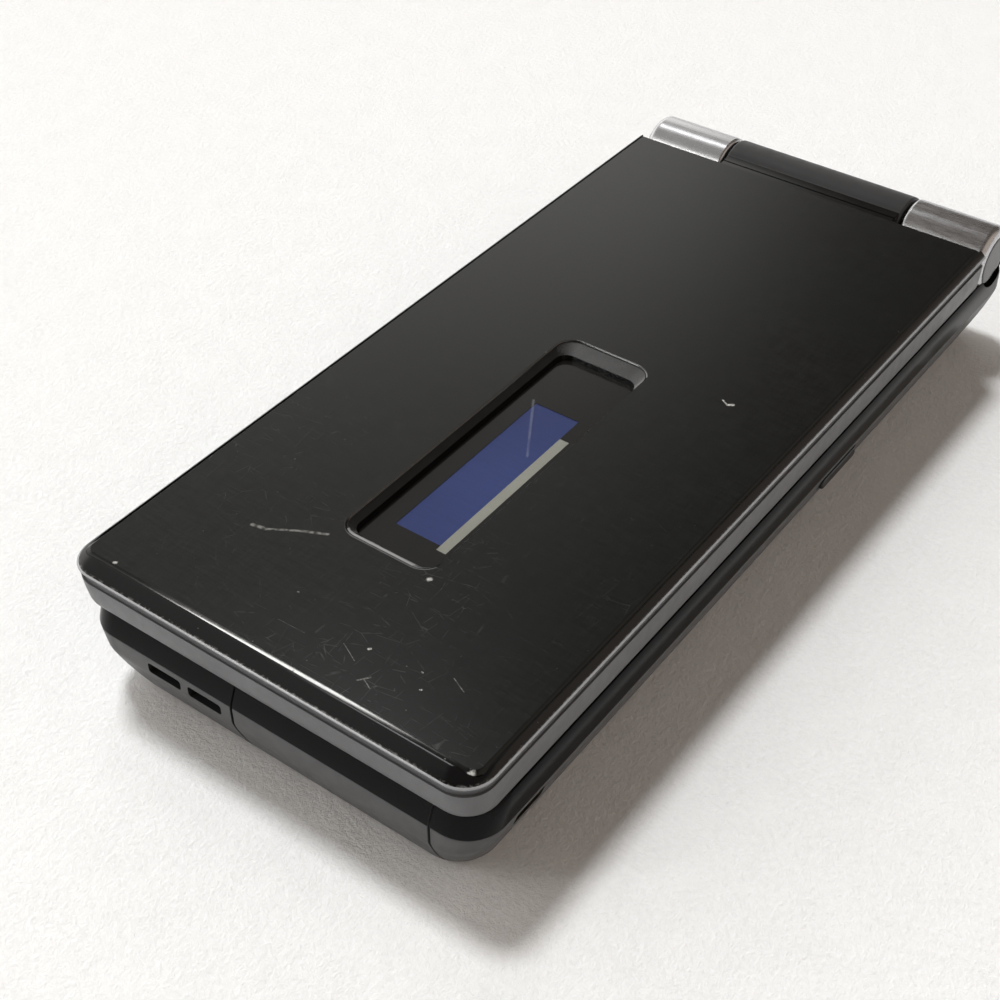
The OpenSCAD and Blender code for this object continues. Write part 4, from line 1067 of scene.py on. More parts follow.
def make_front_case():
    """Glossy front case: the deck with its key openings and the outer knuckles of the hinge."""
    obj = new_object("base_front_shell", loft(upper_rings()), finish("deck"), finish("inner"),
                     finish("knuckle"))
    room = plan(SIDE_WALL_IN, FLAP_BACK + WALL + 0.4, LID_BACK - 1.5, 3.0)
    carve(obj, prisms([room], SEAM_Z - 1, DECK_LOW), 1)
    carve(obj, block(-KNUCKLE_IN, KNUCKLE_IN, LID_BACK, BACK_Y + 1, SEAM_Z - 1, DECK_Z + 1))
    carve(obj, bar([(x, BARREL_R + HINGE_GAP) for x in (-KNUCKLE_IN, KNUCKLE_IN)], 128))
    knuckle = rounded_stations(KNUCKLE_IN, KNUCKLE_OUT, BARREL_R, 0.45, 1.0, 8)
    x0, x1 = KNUCKLE_IN + 0.02, KNUCKLE_OUT - 0.7
    y0, y1 = HINGE_Y - BARREL_R + 0.02, BACK_Y - 0.02
    foot = [(x0, y0), (x1, y0)] + arc(x1 - BACK_R, y1 - BACK_R, BACK_R, 0, 12) + [(x0, y1)]
    for side in (-1, 1):
        fuse(obj, bar(mirrored(knuckle, side)), 2)
        outline = foot if side > 0 else [(-x, y) for x, y in reversed(foot)]
        fuse(obj, prisms([outline], DECK_Z + 0.02, HINGE_Z), 2)
    carve(obj, side_bars(KNUCKLE_IN - 1, KNUCKLE_OUT - 0.85, 3.0), 1)
    carve(obj, side_bars(KNUCKLE_OUT - CAP_DEPTH, KNUCKLE_OUT + 1, 3.27))
    carve(obj, flap_block(0.25, SEAM_Z - 1, DECK_Z + 1, FLAP_BACK + 0.28), 1)
    openings = [small_plan(x, y, w + 0.5, l + 0.5, 1.65) for x, y, w, l in map(cap_box, key_nodes())]
    openings += [circle(0, NAV_Y, 10.85, 96), circle(0, middle("microphone", 1), 0.5, 24)]
    carve(obj, prisms(openings, DECK_LOW - 0.5, DECK_Z + 1))
    fuse(obj, prisms(base_screw_circles(1.9, 32), SEAM_Z - 1.1, DECK_LOW + 0.3), 1)
    carve(obj, prisms(base_screw_circles(0.72, 24), SEAM_Z - 2, DECK_LOW + 0.4), 1)
    shade(obj)
    done(obj, "base", "gloss_black", "base_front_case")


def add_sideways(bm, axis, stations):
    """Closed solid along X (axis 0) or Y (axis 1), through stations of (place, outline)."""
    layers = [[bm.verts.new((place, a, b) if axis == 0 else (a, place, b)) for a, b in outline]
              for place, outline in stations]
    add_skin(bm, layers)
    bm.faces.new(layers[0])
    bm.faces.new(layers[-1])


def openings_in(axis, start, end, middles, z, w, h, r):
    """New mesh of openings with round corners, in the side (axis 0) or the end (axis 1) of the base."""
    bm = bmesh.new()
    for at in middles:
        outline = small_plan(at, z, w, h, r, 5)
        add_sideways(bm, axis, [(start, outline), (end, outline)])
    return bm


def make_rear_case():
    """Satin rear case with its bay, slots and openings."""
    obj = new_object("base_rear_shell", loft(lower_rings()), finish("satin"), finish("inner"))
    front, back = FLAP_BACK + WALL + 0.4, BACK_Y - 4
    full = plan(SIDE_WALL_IN, front, back + 0.5, 2.0)
    carve(obj, loft([(plan(HALF_W - FOOT_SIDE - WALL - 0.4, front + 0.5, back - 2, 2.0), 1.1),
                     (plan(SIDE_WALL_IN - 0.7, front, back, 2.0), SEAM_Z * 0.55),
                     (full, SEAM_Z - 1), (full, SEAM_Z + 1)]), 1)
    bay_x = span("battery_pack", 0)[1] + 0.3
    bay_y0, bay_y1 = span("battery_pack", 1)
    bay_top = span("battery_pack", 2)[1] + 0.1
    fuse(obj, block(-bay_x - 0.8, bay_x + 0.8, bay_y0 - 1.1, bay_y1 + 1.1, 0.6, bay_top + 0.5), 1)
    fuse(obj, prisms(base_screw_circles(1.9, 32), 0.6, 6.2), 1)
    carve(obj, prisms([plan(bay_x, bay_y0 - 0.3, bay_y1 + 0.3, 0.8)], -1, bay_top), 1)
    cover_x = span("battery_cover", 0)[1] + 0.25
    cover_y0, cover_y1 = span("battery_cover", 1)
    carve(obj, prisms([plan(cover_x, cover_y0 - 0.25, cover_y1 + 0.25, 3.25)], -1, COVER_T + 0.05))
    for cutter, slot in rear_cutters():
        carve(obj, cutter, slot)
    carve(obj, flap_block(0.32, -1, SEAM_Z + 1, FLAP_BACK + 0.28), 1)
    x, half = middle("usb_socket", 0), 6.55
    z0, z1 = span("usb_socket", 2)
    carve(obj, block(x - half, x + half, FRONT_Y + 0.5, FLAP_BACK + WALL + 1.5, z0 - 0.05, z1 + 0.05), 1)
    shade(obj)
    done(obj, "base", "satin_grey", "base_rear_case")


def rear_cutters():
    """Cutters for the openings of the rear case, each with the slot that its cut faces take."""
    strap_places = [-10.9 + side * 2.7 for side in (-1, 1)]
    terminal_y = middle("charge_terminals", 1) - 0.4
    key_y = middle("side_key", 1)
    wide, narrow = base_screw_circles(1.75, 32), base_screw_circles(1.45, 32)
    heads = bmesh.new()
    for head, seat in zip(wide, narrow):
        add_loft(heads, [(head, -0.5), (head, 0.0), (seat, 0.3), (seat, 1.9)])
    brim, eye = circle(CAMERA_X, CAMERA_Y, 3.75), circle(CAMERA_X, CAMERA_Y, 3.45)
    slots = [small_plan(SPEAKER_X + 2 * i, SPEAKER_Y, 0.9, 6, 0.44) for i in range(-2, 3)]
    contact_y = span("battery_pack", 1)[1] + 0.3
    return [
        (openings_in(1, FRONT_Y - 1, FRONT_Y + 2.85, strap_places, 6.55, 4.4, 1.3, 0.35), 1),
        (block(-11.9, -9.9, FRONT_Y + 1.85, FRONT_Y + 2.85, 5.92, 7.18), 1),
        (openings_in(0, HALF_W - WALL - 0.4, HALF_W + 1, [terminal_y], SIDE_SLOT_Z, 4.4, 2.0, 0.45), 1),
        (openings_in(0, SIDE_WALL_IN - 0.5, HALF_W + 1, [key_y], SIDE_SLOT_Z, 8.5, 1.8, 0.6), 1),
        (block(SIDE_WALL_IN - 1.5, SIDE_WALL_IN, key_y - 4.95, key_y + 4.95, SIDE_SLOT_Z - 1.6,
               SEAM_Z + 1), 0),
        (heads, 0),
        (prisms(base_screw_circles(0.72, 24), 0.5, SEAM_Z), 0),
        (loft([(brim, -1), (brim, 0.0), (eye, 0.12), (eye, 0.75)]), 0),
        (prisms([circle(CAMERA_X, CAMERA_Y, 2.9)], 0.3, 2), 0),
        (prisms([circle(FLASH_X, CAMERA_Y, 1.25, 32)], -1, 2), 0),
        (prisms(slots, -1, 2), 0),
        (block(-5.2, 5.2, contact_y - 0.5, contact_y + 1.5, 2.2, 4.4), 0),
    ]


def make_port_flap():
    """Flap over the port: satin below the seam line, glossy above it."""
    obj = new_object("port_flap", loft(lower_rings()), finish("satin"), finish("deck"))
    top = upper_rings()
    upper = loft([(top[0][0], SEAM_Z - 0.012)] + top[1:])
    both = bmesh.new()
    add_shape(both, new_object("flap top", upper, finish("satin"), finish("deck")), 1)
    fuse(obj, both, 1)
    join_with(obj, flap_block(0, -1, DECK_Z + 1), "INTERSECT", 0)
    shade(obj)
    done(obj, "port_cover", "satin_grey", "port_cover")


def make_battery_cover():
    """Battery cover with a rounded edge and a thumb groove."""
    x = span("battery_cover", 0)[1]
    y0, y1 = span("battery_cover", 1)
    edge = 0.18
    rings = []
    for a in quarter(4, 0):
        inset = edge * (1 - math.sin(a))
        rings.append((plan(x - inset, y0 + inset, y1 - inset, 3.0 - inset), edge * (1 - math.cos(a))))
    rings.append((plan(x, y0, y1, 3.0), COVER_T))
    obj = new_object("battery_cover_shell", loft(rings), finish("satin"))
    groove = ((12.5, 2.7, 1.3, -0.5), (12.5, 2.7, 1.3, 0.0), (12.1, 2.3, 1.1, 0.1), (11.5, 1.7, 0.8, 0.35))
    carve(obj, loft([(small_plan(0, y0 + 5, w, l, r, 8), z) for w, l, r, z in groove]))
    shade(obj)
    done(obj, "battery_cover", "satin_grey", "battery_cover")


# ---- keys -----------------------------------------------------------------------------------

def body_of_key(name):
    """Body that a key's node belongs to."""
    for body, nodes in frame["record"]["behaviour"]["bodies"].items():
        if name in nodes:
            return body
    raise RuntimeError(f"no body holds {name}")


def glyph_mesh(text, x, y, z, height):
    """Digit or plain sign as a flat mesh in millimetres, centred on a place, its top just over z."""
    curve = bpy.data.curves.new("glyph", "FONT")
    curve.body = text
    curve.size = height / 0.7
    curve.align_x = "CENTER"
    curve.extrude = 0.02
    curve.resolution_u = 4
    obj = bpy.data.objects.new("glyph", curve)
    bpy.context.collection.objects.link(obj)
    graph = bpy.context.evaluated_depsgraph_get()
    mesh = bpy.data.meshes.new_from_object(obj.evaluated_get(graph))
    bm = bmesh.new()
    bm.from_mesh(mesh)
    bpy.data.objects.remove(obj)
    bpy.data.meshes.remove(mesh)
    xs = [v.co.x for v in bm.verts]
    ys = [v.co.y for v in bm.verts]
    shift = Vector((x - (min(xs) + max(xs)) / 2, y - (min(ys) + max(ys)) / 2, z - 0.03))
    bmesh.ops.translate(bm, vec=shift, verts=bm.verts)
    return bm


def stroke(bm, points, width, z0, z1, slot):
    """Flat line of even width through points, as blocks that overlap where they meet."""
    for (x0, y0), (x1, y1) in zip(points, points[1:]):
        along = Vector((x1 - x0, y1 - y0)).normalized() * width / 2
        side = Vector((-along.y, along.x))
        a, b = Vector((x0, y0)), Vector((x1, y1))
        corners = [a - along - side, b + along - side, b + along + side, a - along + side]
        add_prism(bm, [(c.x, c.y) for c in corners], z0, z1, slot)


def oval(rx, ry, half_steps, y=0.0):
    """Closed round line for a sign."""
    turn = [math.pi * i / half_steps for i in range(2 * half_steps + 1)]
    return [(rx * math.cos(a), ry * math.sin(a) + y) for a in turn]


ENVELOPE = [[(-1, -0.65), (1, -0.65), (1, 0.65), (-1, 0.65), (-1, -0.65)],
            [(-1, 0.65), (0, -0.1), (1, 0.65)]]
BARS = [[(-0.8, y), (0.8, y)] for y in (0.55, 0, -0.55)]
GLOBE = [oval(0.9, 0.9, 10), [(-0.9, 0), (0.9, 0)], oval(0.42, 0.9, 10)]
CAMERA = [[(-1, -0.6), (1, -0.6), (1, 0.5), (0.45, 0.5), (0.25, 0.75), (-0.25, 0.75), (-0.45, 0.5),
           (-1, 0.5), (-1, -0.6)], oval(0.34, 0.34, 8, -0.05)]
HANDSET = [[(-1, 0.1), (-0.85, 0.4), (-0.4, 0.55), (0, 0.6), (0.4, 0.55), (0.85, 0.4), (1, 0.1)],
           [(-1, 0.1), (-0.6, -0.05), (-0.5, 0.25)], [(1, 0.1), (0.6, -0.05), (0.5, 0.25)]]
ERASE = [[(-1, 0), (-0.45, 0.55), (1, 0.55), (1, -0.55), (-0.45, -0.55), (-1, 0)],
         [(-0.1, 0.25), (0.45, -0.25)], [(-0.1, -0.25), (0.45, 0.25)]]

# Plain line signs of the function keys, in shares of a small square
SIGNS = {"key_mail": ENVELOPE, "key_menu": BARS, "key_web": GLOBE, "key_camera": CAMERA,
         "key_call": HANDSET, "key_end": HANDSET, "key_clear": ERASE}
DIGITS = {"key_star": "*", "key_hash": "#", **{f"key_{i}": str(i) for i in range(10)}}
LEGENDS = {"key_call": "green", "key_end": "red"}


def make_key(name):
    """Key with a rounded edge, a slightly domed face, its flange, stem and legend."""
    x, y, w, l = cap_box(name)
    low, top = span(name, 2)
    dip, e = size_of("key_dip"), size_of("key_edge")
    flange = DECK_LOW - 0.05 - FLANGE_T
    bm = bmesh.new()
    add_prism(bm, circle(x, y, 1.0, 24), low, flange + 0.05)
    add_prism(bm, small_plan(x, y, w + 2 * FLANGE_OUT, l + 2 * FLANGE_OUT, KEY_R), flange, flange + FLANGE_T)
    edge_z = top - dip
    rings = [(small_plan(x, y, w, l, KEY_R, 7), flange + 0.3), (small_plan(x, y, w, l, KEY_R, 7), edge_z - e)]
    for a in quarter(4):
        inset = e * (1 - math.cos(a))
        rings.append((small_plan(x, y, w - 2 * inset, l - 2 * inset, KEY_R - inset, 7),
                      edge_z - e + e * math.sin(a)))
    half_w, half_l = w / 2 - e, l / 2 - e
    for share in (0.86, 0.68, 0.46, 0.22):
        rings.append((small_plan(x, y, 2 * half_w * share, 2 * half_l * share, (KEY_R - e) * share, 7),
                      top - dip * share ** 2))
    add_loft(bm, rings)
    obj = new_object(name + "_cap", bm, finish("key"), finish(LEGENDS.get(name, "legend")))
    if name in DIGITS:
        height = size_of("digit") * (0.8 if name in ("key_star", "key_hash") else 1.0)
        marks = glyph_mesh(DIGITS[name], x, y, top + 0.012, height)
    else:
        marks = bmesh.new()
        reach = min(w, l) * 0.22
        flip = -1 if name == "key_end" else 1
        for line in SIGNS[name]:
            stroke(marks, [(x + reach * a, y + reach * b * flip) for a, b in line], 0.32, top - 0.06,
                   top + 0.008, 0)
    for face in marks.faces:
        face.material_index = 1
    bmesh.ops.scale(marks, vec=(MM,) * 3, verts=marks.verts)
    extra = bpy.data.meshes.new("marks")
    marks.to_mesh(extra)
    marks.free()
    whole = bmesh.new()
    whole.from_mesh(obj.data)
    whole.from_mesh(extra)
    whole.to_mesh(obj.data)
    whole.free()
    bpy.data.meshes.remove(extra)
    shade(obj, 40)
    done(obj, body_of_key(name), "key_film", name)


def make_nav():
    """Navigation ring with a turned face and four legs under it, and its centre key."""
    low, top = span("nav_ring", 2)
    lip = 0.75
    r = span("nav_ring", 0)[1] - lip
    inner = span("nav_centre", 0)[1] + 0.45
    ring_low = DECK_LOW - 0.9
    profile = [(inner, ring_low), (r + lip, ring_low), (r + lip, ring_low + 0.45), (r, ring_low + 0.46),
               (r, top - 0.32), (r - 0.1, top - 0.14), (r - 0.3, top - 0.05), (r - 1.1, top),
               (inner + 1.6, top - 0.04), (inner + 0.5, top - 0.12), (inner + 0.1, top - 0.25),
               (inner, top - 0.4)]
    bm = bmesh.new()
    layers = [[bm.verts.new((x, y, z)) for x, y in circle(0, NAV_Y, a, 128)] for a, z in profile]
    add_skin(bm, layers + layers[:1])
    quarters = [math.pi / 2 * i for i in range(4)]
    for a in quarters:
        add_prism(bm, circle(7.6 * math.cos(a), NAV_Y + 7.6 * math.sin(a), 1.0, 24), low, ring_low + 0.05)
    ring = new_object("navigation_ring", bm, finish("nav"), finish("inner"))
    arrows = bmesh.new()
    for a in quarters:
        turn = Matrix.Rotation(a, 2)
        points = [turn @ Vector(p) for p in ((8.9, 0.0), (8.0, 0.85), (8.25, 0.0), (8.0, -0.85))]
        add_prism(arrows, [(p.x, NAV_Y + p.y) for p in points], top - 0.1, top + 0.4)
    carve(ring, arrows, 1)
    shade(ring)
    done(ring, "nav_ring", "nav_metal", "nav_ring")
    low, top = span("nav_centre", 2)
    r = span("nav_centre", 0)[1]
    bm = bmesh.new()
    add_prism(bm, circle(0, NAV_Y, 1.0, 24), low, ring_low + 0.35)
    edge = 0.2
    rings = [(circle(0, NAV_Y, r, 64), ring_low + 0.3), (circle(0, NAV_Y, r, 64), top - 0.3)]
    for a in quarter(4):
        rings.append((circle(0, NAV_Y, r - edge * (1 - math.cos(a)), 64), top - 0.3 + edge * math.sin(a)))
    for share in (0.75, 0.5, 0.25):
        rings.append((circle(0, NAV_Y, (r - edge) * share, 64), top - 0.1 * share ** 2))
    add_loft(bm, rings)
    centre = new_object("centre_key", bm, finish("key"))
    shade(centre, 40)
    done(centre, "nav_centre", "key_film", "nav_centre")


def make_side_key():
    """Side key with round ends, and the flange that keeps it in the case."""
    y0, y1 = span("side_key", 1)
    x_out = span("side_key", 0)[1]
    y, z = (y0 + y1) / 2, SIDE_SLOT_Z
    bm = block(SIDE_WALL_IN - 0.6, SIDE_WALL_IN - 0.05, y0, y1, z - 1.35, z + 1.35)
    add_sideways(bm, 0, [
        (x, small_plan(y, z, 8 - 2 * inset, 1.3 - 2 * inset, 0.62 - inset, 6))
        for x, inset in ((SIDE_WALL_IN - 0.1, 0.0), (x_out - 0.28, 0.0), (x_out - 0.12, 0.04),
                         (x_out - 0.03, 0.14), (x_out, 0.3))])
    obj = new_object("side_button", bm, finish("gloss"))
    shade(obj)
    done(obj, "side_key", "gloss_black", "side_key")


# ---- repeated small parts, made with geometry nodes -----------------------------------------

class Tree:
    """A geometry node tree with named inputs, which ends in plain mesh with a material."""

    def __init__(self, name, inputs):
        self.tree = bpy.data.node_groups.new(name, "GeometryNodeTree")
        self.tree.interface.new_socket("Geometry", in_out="OUTPUT", socket_type="NodeSocketGeometry")
        self.ids = {}
        for label, value in inputs.items():
            kind = ("NodeSocketMaterial" if isinstance(value, bpy.types.Material) else
                    "NodeSocketVector" if isinstance(value, tuple) else "NodeSocketFloat")
            socket = self.tree.interface.new_socket(label, in_out="INPUT", socket_type=kind)
            self.ids[label] = socket.identifier
        self.values = inputs
        self.source = self.tree.nodes.new("NodeGroupInput")

    def __getitem__(self, label):
        return self.source.outputs[label]

    def node(self, kind, inputs=None, **settings):
        """New node of this tree."""
        return add_node(self.tree, kind, inputs, settings)

    def vector(self, x=0.0, y=0.0, z=0.0):
        """Vector from three values."""
        return self.node("ShaderNodeCombineXYZ", {0: x, 1: y, 2: z}).outputs[0]

    def calc(self, operation, a, b):
        """Math node on two values."""
        return self.node("ShaderNodeMath", {0: a, 1: b}, operation=operation).outputs[0]

    def times(self, a, b):
        """Product of two values."""
        return self.calc("MULTIPLY", a, b)

    def compare(self, operation, a, b):
        """Whether one value is less or greater than another."""
        return self.node("FunctionNodeCompare", {"A": a, "B": b}, operation=operation).outputs[0]

    def place(self):
        """Height of a point, its vector in plan and its distance from the upright axis."""
        position = self.node("GeometryNodeInputPosition").outputs[0]
        split = self.node("ShaderNodeSeparateXYZ", {0: position}).outputs
        flat = self.vector(split[0], split[1])
        away = self.node("ShaderNodeVectorMath", {0: flat}, operation="LENGTH").outputs["Value"]
        return split[2], flat, away

    def cylinder(self, **inputs):
        """Upright cylinder; an underscore in an input's name stands for a space."""
        named = {key.replace("_", " "): value for key, value in inputs.items()}
        return self.node("GeometryNodeMeshCylinder", named).outputs[0]

    def bend(self, part, chosen, offset):
        """Moves the chosen points of a part."""
        return self.node("GeometryNodeSetPosition", {
            "Geometry": part, "Selection": chosen, "Offset": offset}).outputs[0]

    def join(self, *parts):
        """Several parts as one."""
        made = self.node("GeometryNodeJoinGeometry")
        for part in parts:
            self.tree.links.new(part, made.inputs[0])
        return made.outputs[0]

    def moved(self, part, offset):
        """Part moved as a whole."""
        return self.node("GeometryNodeTransform", {"Geometry": part, "Translation": offset}).outputs[0]

    def corners(self, half_x, half_y, offset):
        """Four points at the corners of a rectangle."""
        grid = self.node("GeometryNodeMeshGrid", {
            "Size X": self.times(half_x, 2.0), "Size Y": self.times(half_y, 2.0),
            "Vertices X": 2, "Vertices Y": 2}).outputs[0]
        return self.moved(grid, offset)

    def build(self, name, points, part):
        """Places the part on the points and turns the result into a plain mesh object."""
        placed = self.node("GeometryNodeInstanceOnPoints", {"Points": points, "Instance": part}).outputs[0]
        real = self.node("GeometryNodeRealizeInstances", {"Geometry": placed}).outputs[0]
        painted = self.node("GeometryNodeSetMaterial", {
            "Geometry": real, "Material": self["Material"]}).outputs[0]
        out = self.tree.nodes.new("NodeGroupOutput")
        self.tree.links.new(painted, out.inputs[0])
        mesh = bpy.data.meshes.new(name)
        obj = bpy.data.objects.new(name, mesh)
        bpy.context.collection.objects.link(obj)
        modifier = obj.modifiers.new(name, "NODES")
        modifier.node_group = self.tree
        for label, value in self.values.items():
            modifier[self.ids[label]] = value
        settle(obj)
        bm = bmesh.new()
        bm.from_mesh(obj.data)
        bmesh.ops.remove_doubles(bm, verts=bm.verts, dist=1e-7)
        bmesh.ops.recalc_face_normals(bm, faces=bm.faces)
        bm.to_mesh(obj.data)
        bm.free()
        if not obj.data.polygons:
            raise RuntimeError(f"{name} came out empty")
        return obj


def make_screws(name, node, body, low, tip):
    """Cross-recessed screws: a domed head over a threaded shank, one at each corner."""
    (x0, x1), (y0, y1) = span(node, 0), span(node, 1)
    tree = Tree(name, {
        "Half width": (x1 - x0 - 2 * SCREW_HEAD_R) / 2 * MM,
        "Half length": (y1 - y0 - 2 * SCREW_HEAD_R) / 2 * MM,
        "Middle": (0.0, (y0 + y1) / 2 * MM, 0.0), "Head radius": SCREW_HEAD_R * MM, "Head height": 0.8 * MM,
        "Shank radius": 0.66 * MM, "Low": low * MM, "Length": (tip - low) * MM,
        "Thread pitch": 0.35 * MM, "Material": finish("steel")})
    height, flat, away = tree.place()
    head = tree.cylinder(Vertices=32, Side_Segments=3, Fill_Segments=3, Radius=tree["Head radius"],
                         Depth=tree["Head height"])
    drop = tree.calc("POWER", tree.calc("DIVIDE", away, tree["Head radius"]), 4.0)
    rise = tree.times(tree.times(drop, tree["Head height"]), 0.28)
    head = tree.bend(head, tree.compare("LESS_THAN", height, 0.0), tree.vector(0.0, 0.0, rise))
    head = tree.moved(head, tree.vector(0.0, 0.0, tree.times(tree["Head height"], 0.5)))
    long, short, deep = 1.5 * MM, 0.3 * MM, 0.9 * MM
    cross = [tree.node("GeometryNodeMeshCube", {"Size": arm}).outputs[0]
             for arm in ((long, short, deep), (short, long, deep))]
    cut = tree.node("GeometryNodeMeshBoolean", {0: head, 1: tree.join(*cross)}, operation="DIFFERENCE",
                    solver="EXACT")
    cut.inputs["Self Intersection"].default_value = True
    shank = tree.cylinder(Vertices=24, Side_Segments=48, Radius=tree["Shank radius"], Depth=tree["Length"])
    turns = tree.times(tree.calc("DIVIDE", height, tree["Thread pitch"]), 2 * math.pi)
    wave = tree.node("ShaderNodeMath", {0: turns}, operation="SINE").outputs[0]
    ridge = tree.node("ShaderNodeVectorMath", {0: flat, "Scale": tree.times(wave, 0.1)}, operation="SCALE")
    outside = tree.compare("GREATER_THAN", away, tree.times(tree["Shank radius"], 0.5))
    shank = tree.bend(shank, outside, ridge.outputs[0])
    shank = tree.moved(shank, tree.vector(0.0, 0.0, tree.times(tree["Length"], 0.5)))
    screw = tree.moved(tree.join(cut.outputs[0], shank), tree.vector(0.0, 0.0, tree["Low"]))
    obj = tree.build(name, tree.corners(tree["Half width"], tree["Half length"], tree["Middle"]), screw)
    shade(obj, 35)
    done(obj, body, "steel", node)


def make_pads():
    """Soft round pads over the lid's screws, with a domed face."""
    (x0, x1), (y0, y1), (low, high) = (span("bumper_pads", axis) for axis in range(3))
    pad_r = 1.45
    tree = Tree("lid_pads", {
        "Half width": (x1 - x0 - 2 * pad_r) / 2 * MM, "Half length": (y1 - y0 - 2 * pad_r) / 2 * MM,
        "Middle": (0.0, (y0 + y1) / 2 * MM, (low + high) / 2 * MM), "Radius": pad_r * MM,
        "Height": (high - low) * MM, "Edge": 0.14 * MM, "Material": finish("rubber")})
    height, _, away = tree.place()
    pad = tree.cylinder(Vertices=40, Side_Segments=4, Fill_Segments=5, Radius=tree["Radius"],
                        Depth=tree["Height"])
    drop = tree.calc("POWER", tree.calc("DIVIDE", away, tree["Radius"]), 5.0)
    pad = tree.bend(pad, tree.compare("LESS_THAN", height, -0.0001),
                    tree.vector(0.0, 0.0, tree.times(drop, tree["Edge"])))
    obj = tree.build("lid_pads", tree.corners(tree["Half width"], tree["Half length"], tree["Middle"]), pad)
    shade(obj, 35)
    done(obj, "lid", "rubber", "bumper_pads")


# ---- hinge parts and inner parts ------------------------------------------------------------

def make_end_caps():
    """Caps over the hinge ends, slightly domed, with a rounded edge."""
    outer = KNUCKLE_OUT
    stations = [(outer - CAP_DEPTH, 3.18), (outer - 0.3, 3.18), (outer - 0.16, 3.14), (outer - 0.06, 3.02),
                (outer - 0.01, 2.8), (outer, 2.5)]
    bm = bmesh.new()
    for side in (-1, 1):
        add_bar(bm, mirrored(stations, side), 64)
    caps = new_object("hinge_caps", bm, finish("gloss"))
    shade(caps)
    done(caps, "base", "gloss_black", "hinge_end_caps")


INNER_FINISHES = {
    "battery_pack": "battery", "battery_contacts": "gold", "main_board": "board", "shield_cans": "steel",
    "key_dome_sheet": "cream", "usb_socket": "steel", "microphone": "steel", "loudspeaker": "mesh",
    "vibration_motor": "steel", "camera_module": "inner", "camera_window": "window", "flash_lens": "amber",
    "card_holder": "steel", "antenna": "gold", "charge_terminals": "gold", "hinge_cartridge": "steel",
    "hinge_bush": "steel", "main_display_module": "display", "earpiece": "mesh", "lid_board": "board",
    "hinge_cam_shaft": "steel", "hinge_pin": "steel", "hinge_flex": "film", "nav_rocker": "nav",
}


def finish_inner_parts():
    """Gives every node that keeps its shape a finish of its own kind."""
    for name, kind in INNER_FINISHES.items():
        materials = frame["nodes"][name].data.materials
        for i in range(len(materials)):
            materials[i] = finish(kind)
        if not materials:
            materials.append(finish(kind))


# ---- stage ----------------------------------------------------------------------------------

def floor_finish():
    """Pale soft board: slightly uneven, with fine loose grain, and painted shade that darkens it toward the
    back.
    """
    f = Finish("floor pale", colours().floor, 0.9, {"Specular IOR Level": 0.05})
    grain = f.noise(1.5, 5.0, rough=0.75)
    clumps = f.noise(0.22, 3.0)
    shade = f.mix(f.remap(grain, 0.3, 0.7, 0, 1), f.shade_of(0.93), f.shade_of(1.05))
    shade = f.mix(f.remap(clumps, 0.35, 0.65, 0, 0.5), shade, f.shade_of(1.03))
    # Painted shade: the colour falls by an eighth from y = -60 mm to y = 300 mm, toward the back.
    f.paint(f.mix(f.remap(f.axis(1), -60.0, 300.0, 0.0, 1.0), shade, f.shade_of(0.88)))
    f.bump(grain, 0.45, 0.7)
    f.bump(clumps, 0.5, 0.35)
    return f.material


def make_floor():
    """Round pale floor under the phone."""
    bm = bmesh.new()
    steps = 96
    centre = bm.verts.new((0, 0, 0))
    layers = [[bm.verts.new((x, y, 0)) for x, y in circle(0, 0, r, steps)]
              for r in (60, 120, 240, 480, 900, 1600, 2600)]
    for i in range(steps):
        bm.faces.new((centre, layers[0][i], layers[0][(i + 1) % steps]))
    for low, high in zip(layers, layers[1:]):
        for i in range(steps):
            j = (i + 1) % steps
            bm.faces.new((low[i], high[i], high[j], low[j]))
    floor = new_object("floor", bm, floor_finish())
    if floor.data.polygons[0].normal.z < 0:
        floor.data.flip_normals()


def aim(obj, place, target):
    """Puts a lamp or a camera at a place, looking at a target, in metres."""
    obj.location = place
    obj.rotation_euler = (Vector(target) - Vector(place)).to_track_quat("-Z", "Y").to_euler()


def make_lamp(name, kind, place, target, power, colour):
    """Lamp at a place in metres, aimed at a target."""
    lamp = bpy.data.objects.new(name, bpy.data.lights.new(name, kind))
    lamp.data.energy = power
    lamp.data.color = colour
    bpy.context.collection.objects.link(lamp)
    aim(lamp, place, target)
    return lamp


def make_panel_lamp(name, place, target, wide, high, power, colour=(1, 1, 1)):
    """Flat lamp of a width and a height in metres."""
    lamp = make_lamp(name, "AREA", place, target, power, colour)
    lamp.data.shape = "RECTANGLE"
    lamp.data.size, lamp.data.size_y = wide, high


# Where the camera stands in metres, how it is turned in degrees, and its lens in millimetres
VIEW_PLACE = (0.0802, -0.1260, 0.1275)
VIEW_TURN, VIEW_TILT, VIEW_ROLL = 36.67, 41.1, -0.43
VIEW_LENS = 60.36


def make_camera():
    """Camera over the phone's right front corner."""
    data = bpy.data.cameras.new("camera")
    data.sensor_width, data.sensor_height, data.sensor_fit = 36.0, 36.0, "AUTO"
    data.lens = VIEW_LENS
    data.clip_start, data.clip_end = 0.01, 20.0
    camera = bpy.data.objects.new("camera", data)
    bpy.context.collection.objects.link(camera)
    turn, tilt, roll = (math.radians(angle) for angle in (VIEW_TURN, VIEW_TILT, VIEW_ROLL))
    forward = Vector((-math.sin(turn) * math.cos(tilt), math.cos(turn) * math.cos(tilt), -math.sin(tilt)))
    right = Vector((math.cos(turn), math.sin(turn), 0.0))
    up = right.cross(forward)
    right, up = right * math.cos(roll) + up * math.sin(roll), up * math.cos(roll) - right * math.sin(roll)
    rows = [(right[i], up[i], -forward[i], VIEW_PLACE[i]) for i in range(3)]
    camera.matrix_world = Matrix((*rows, (0, 0, 0, 1)))
    bpy.context.scene.camera = camera


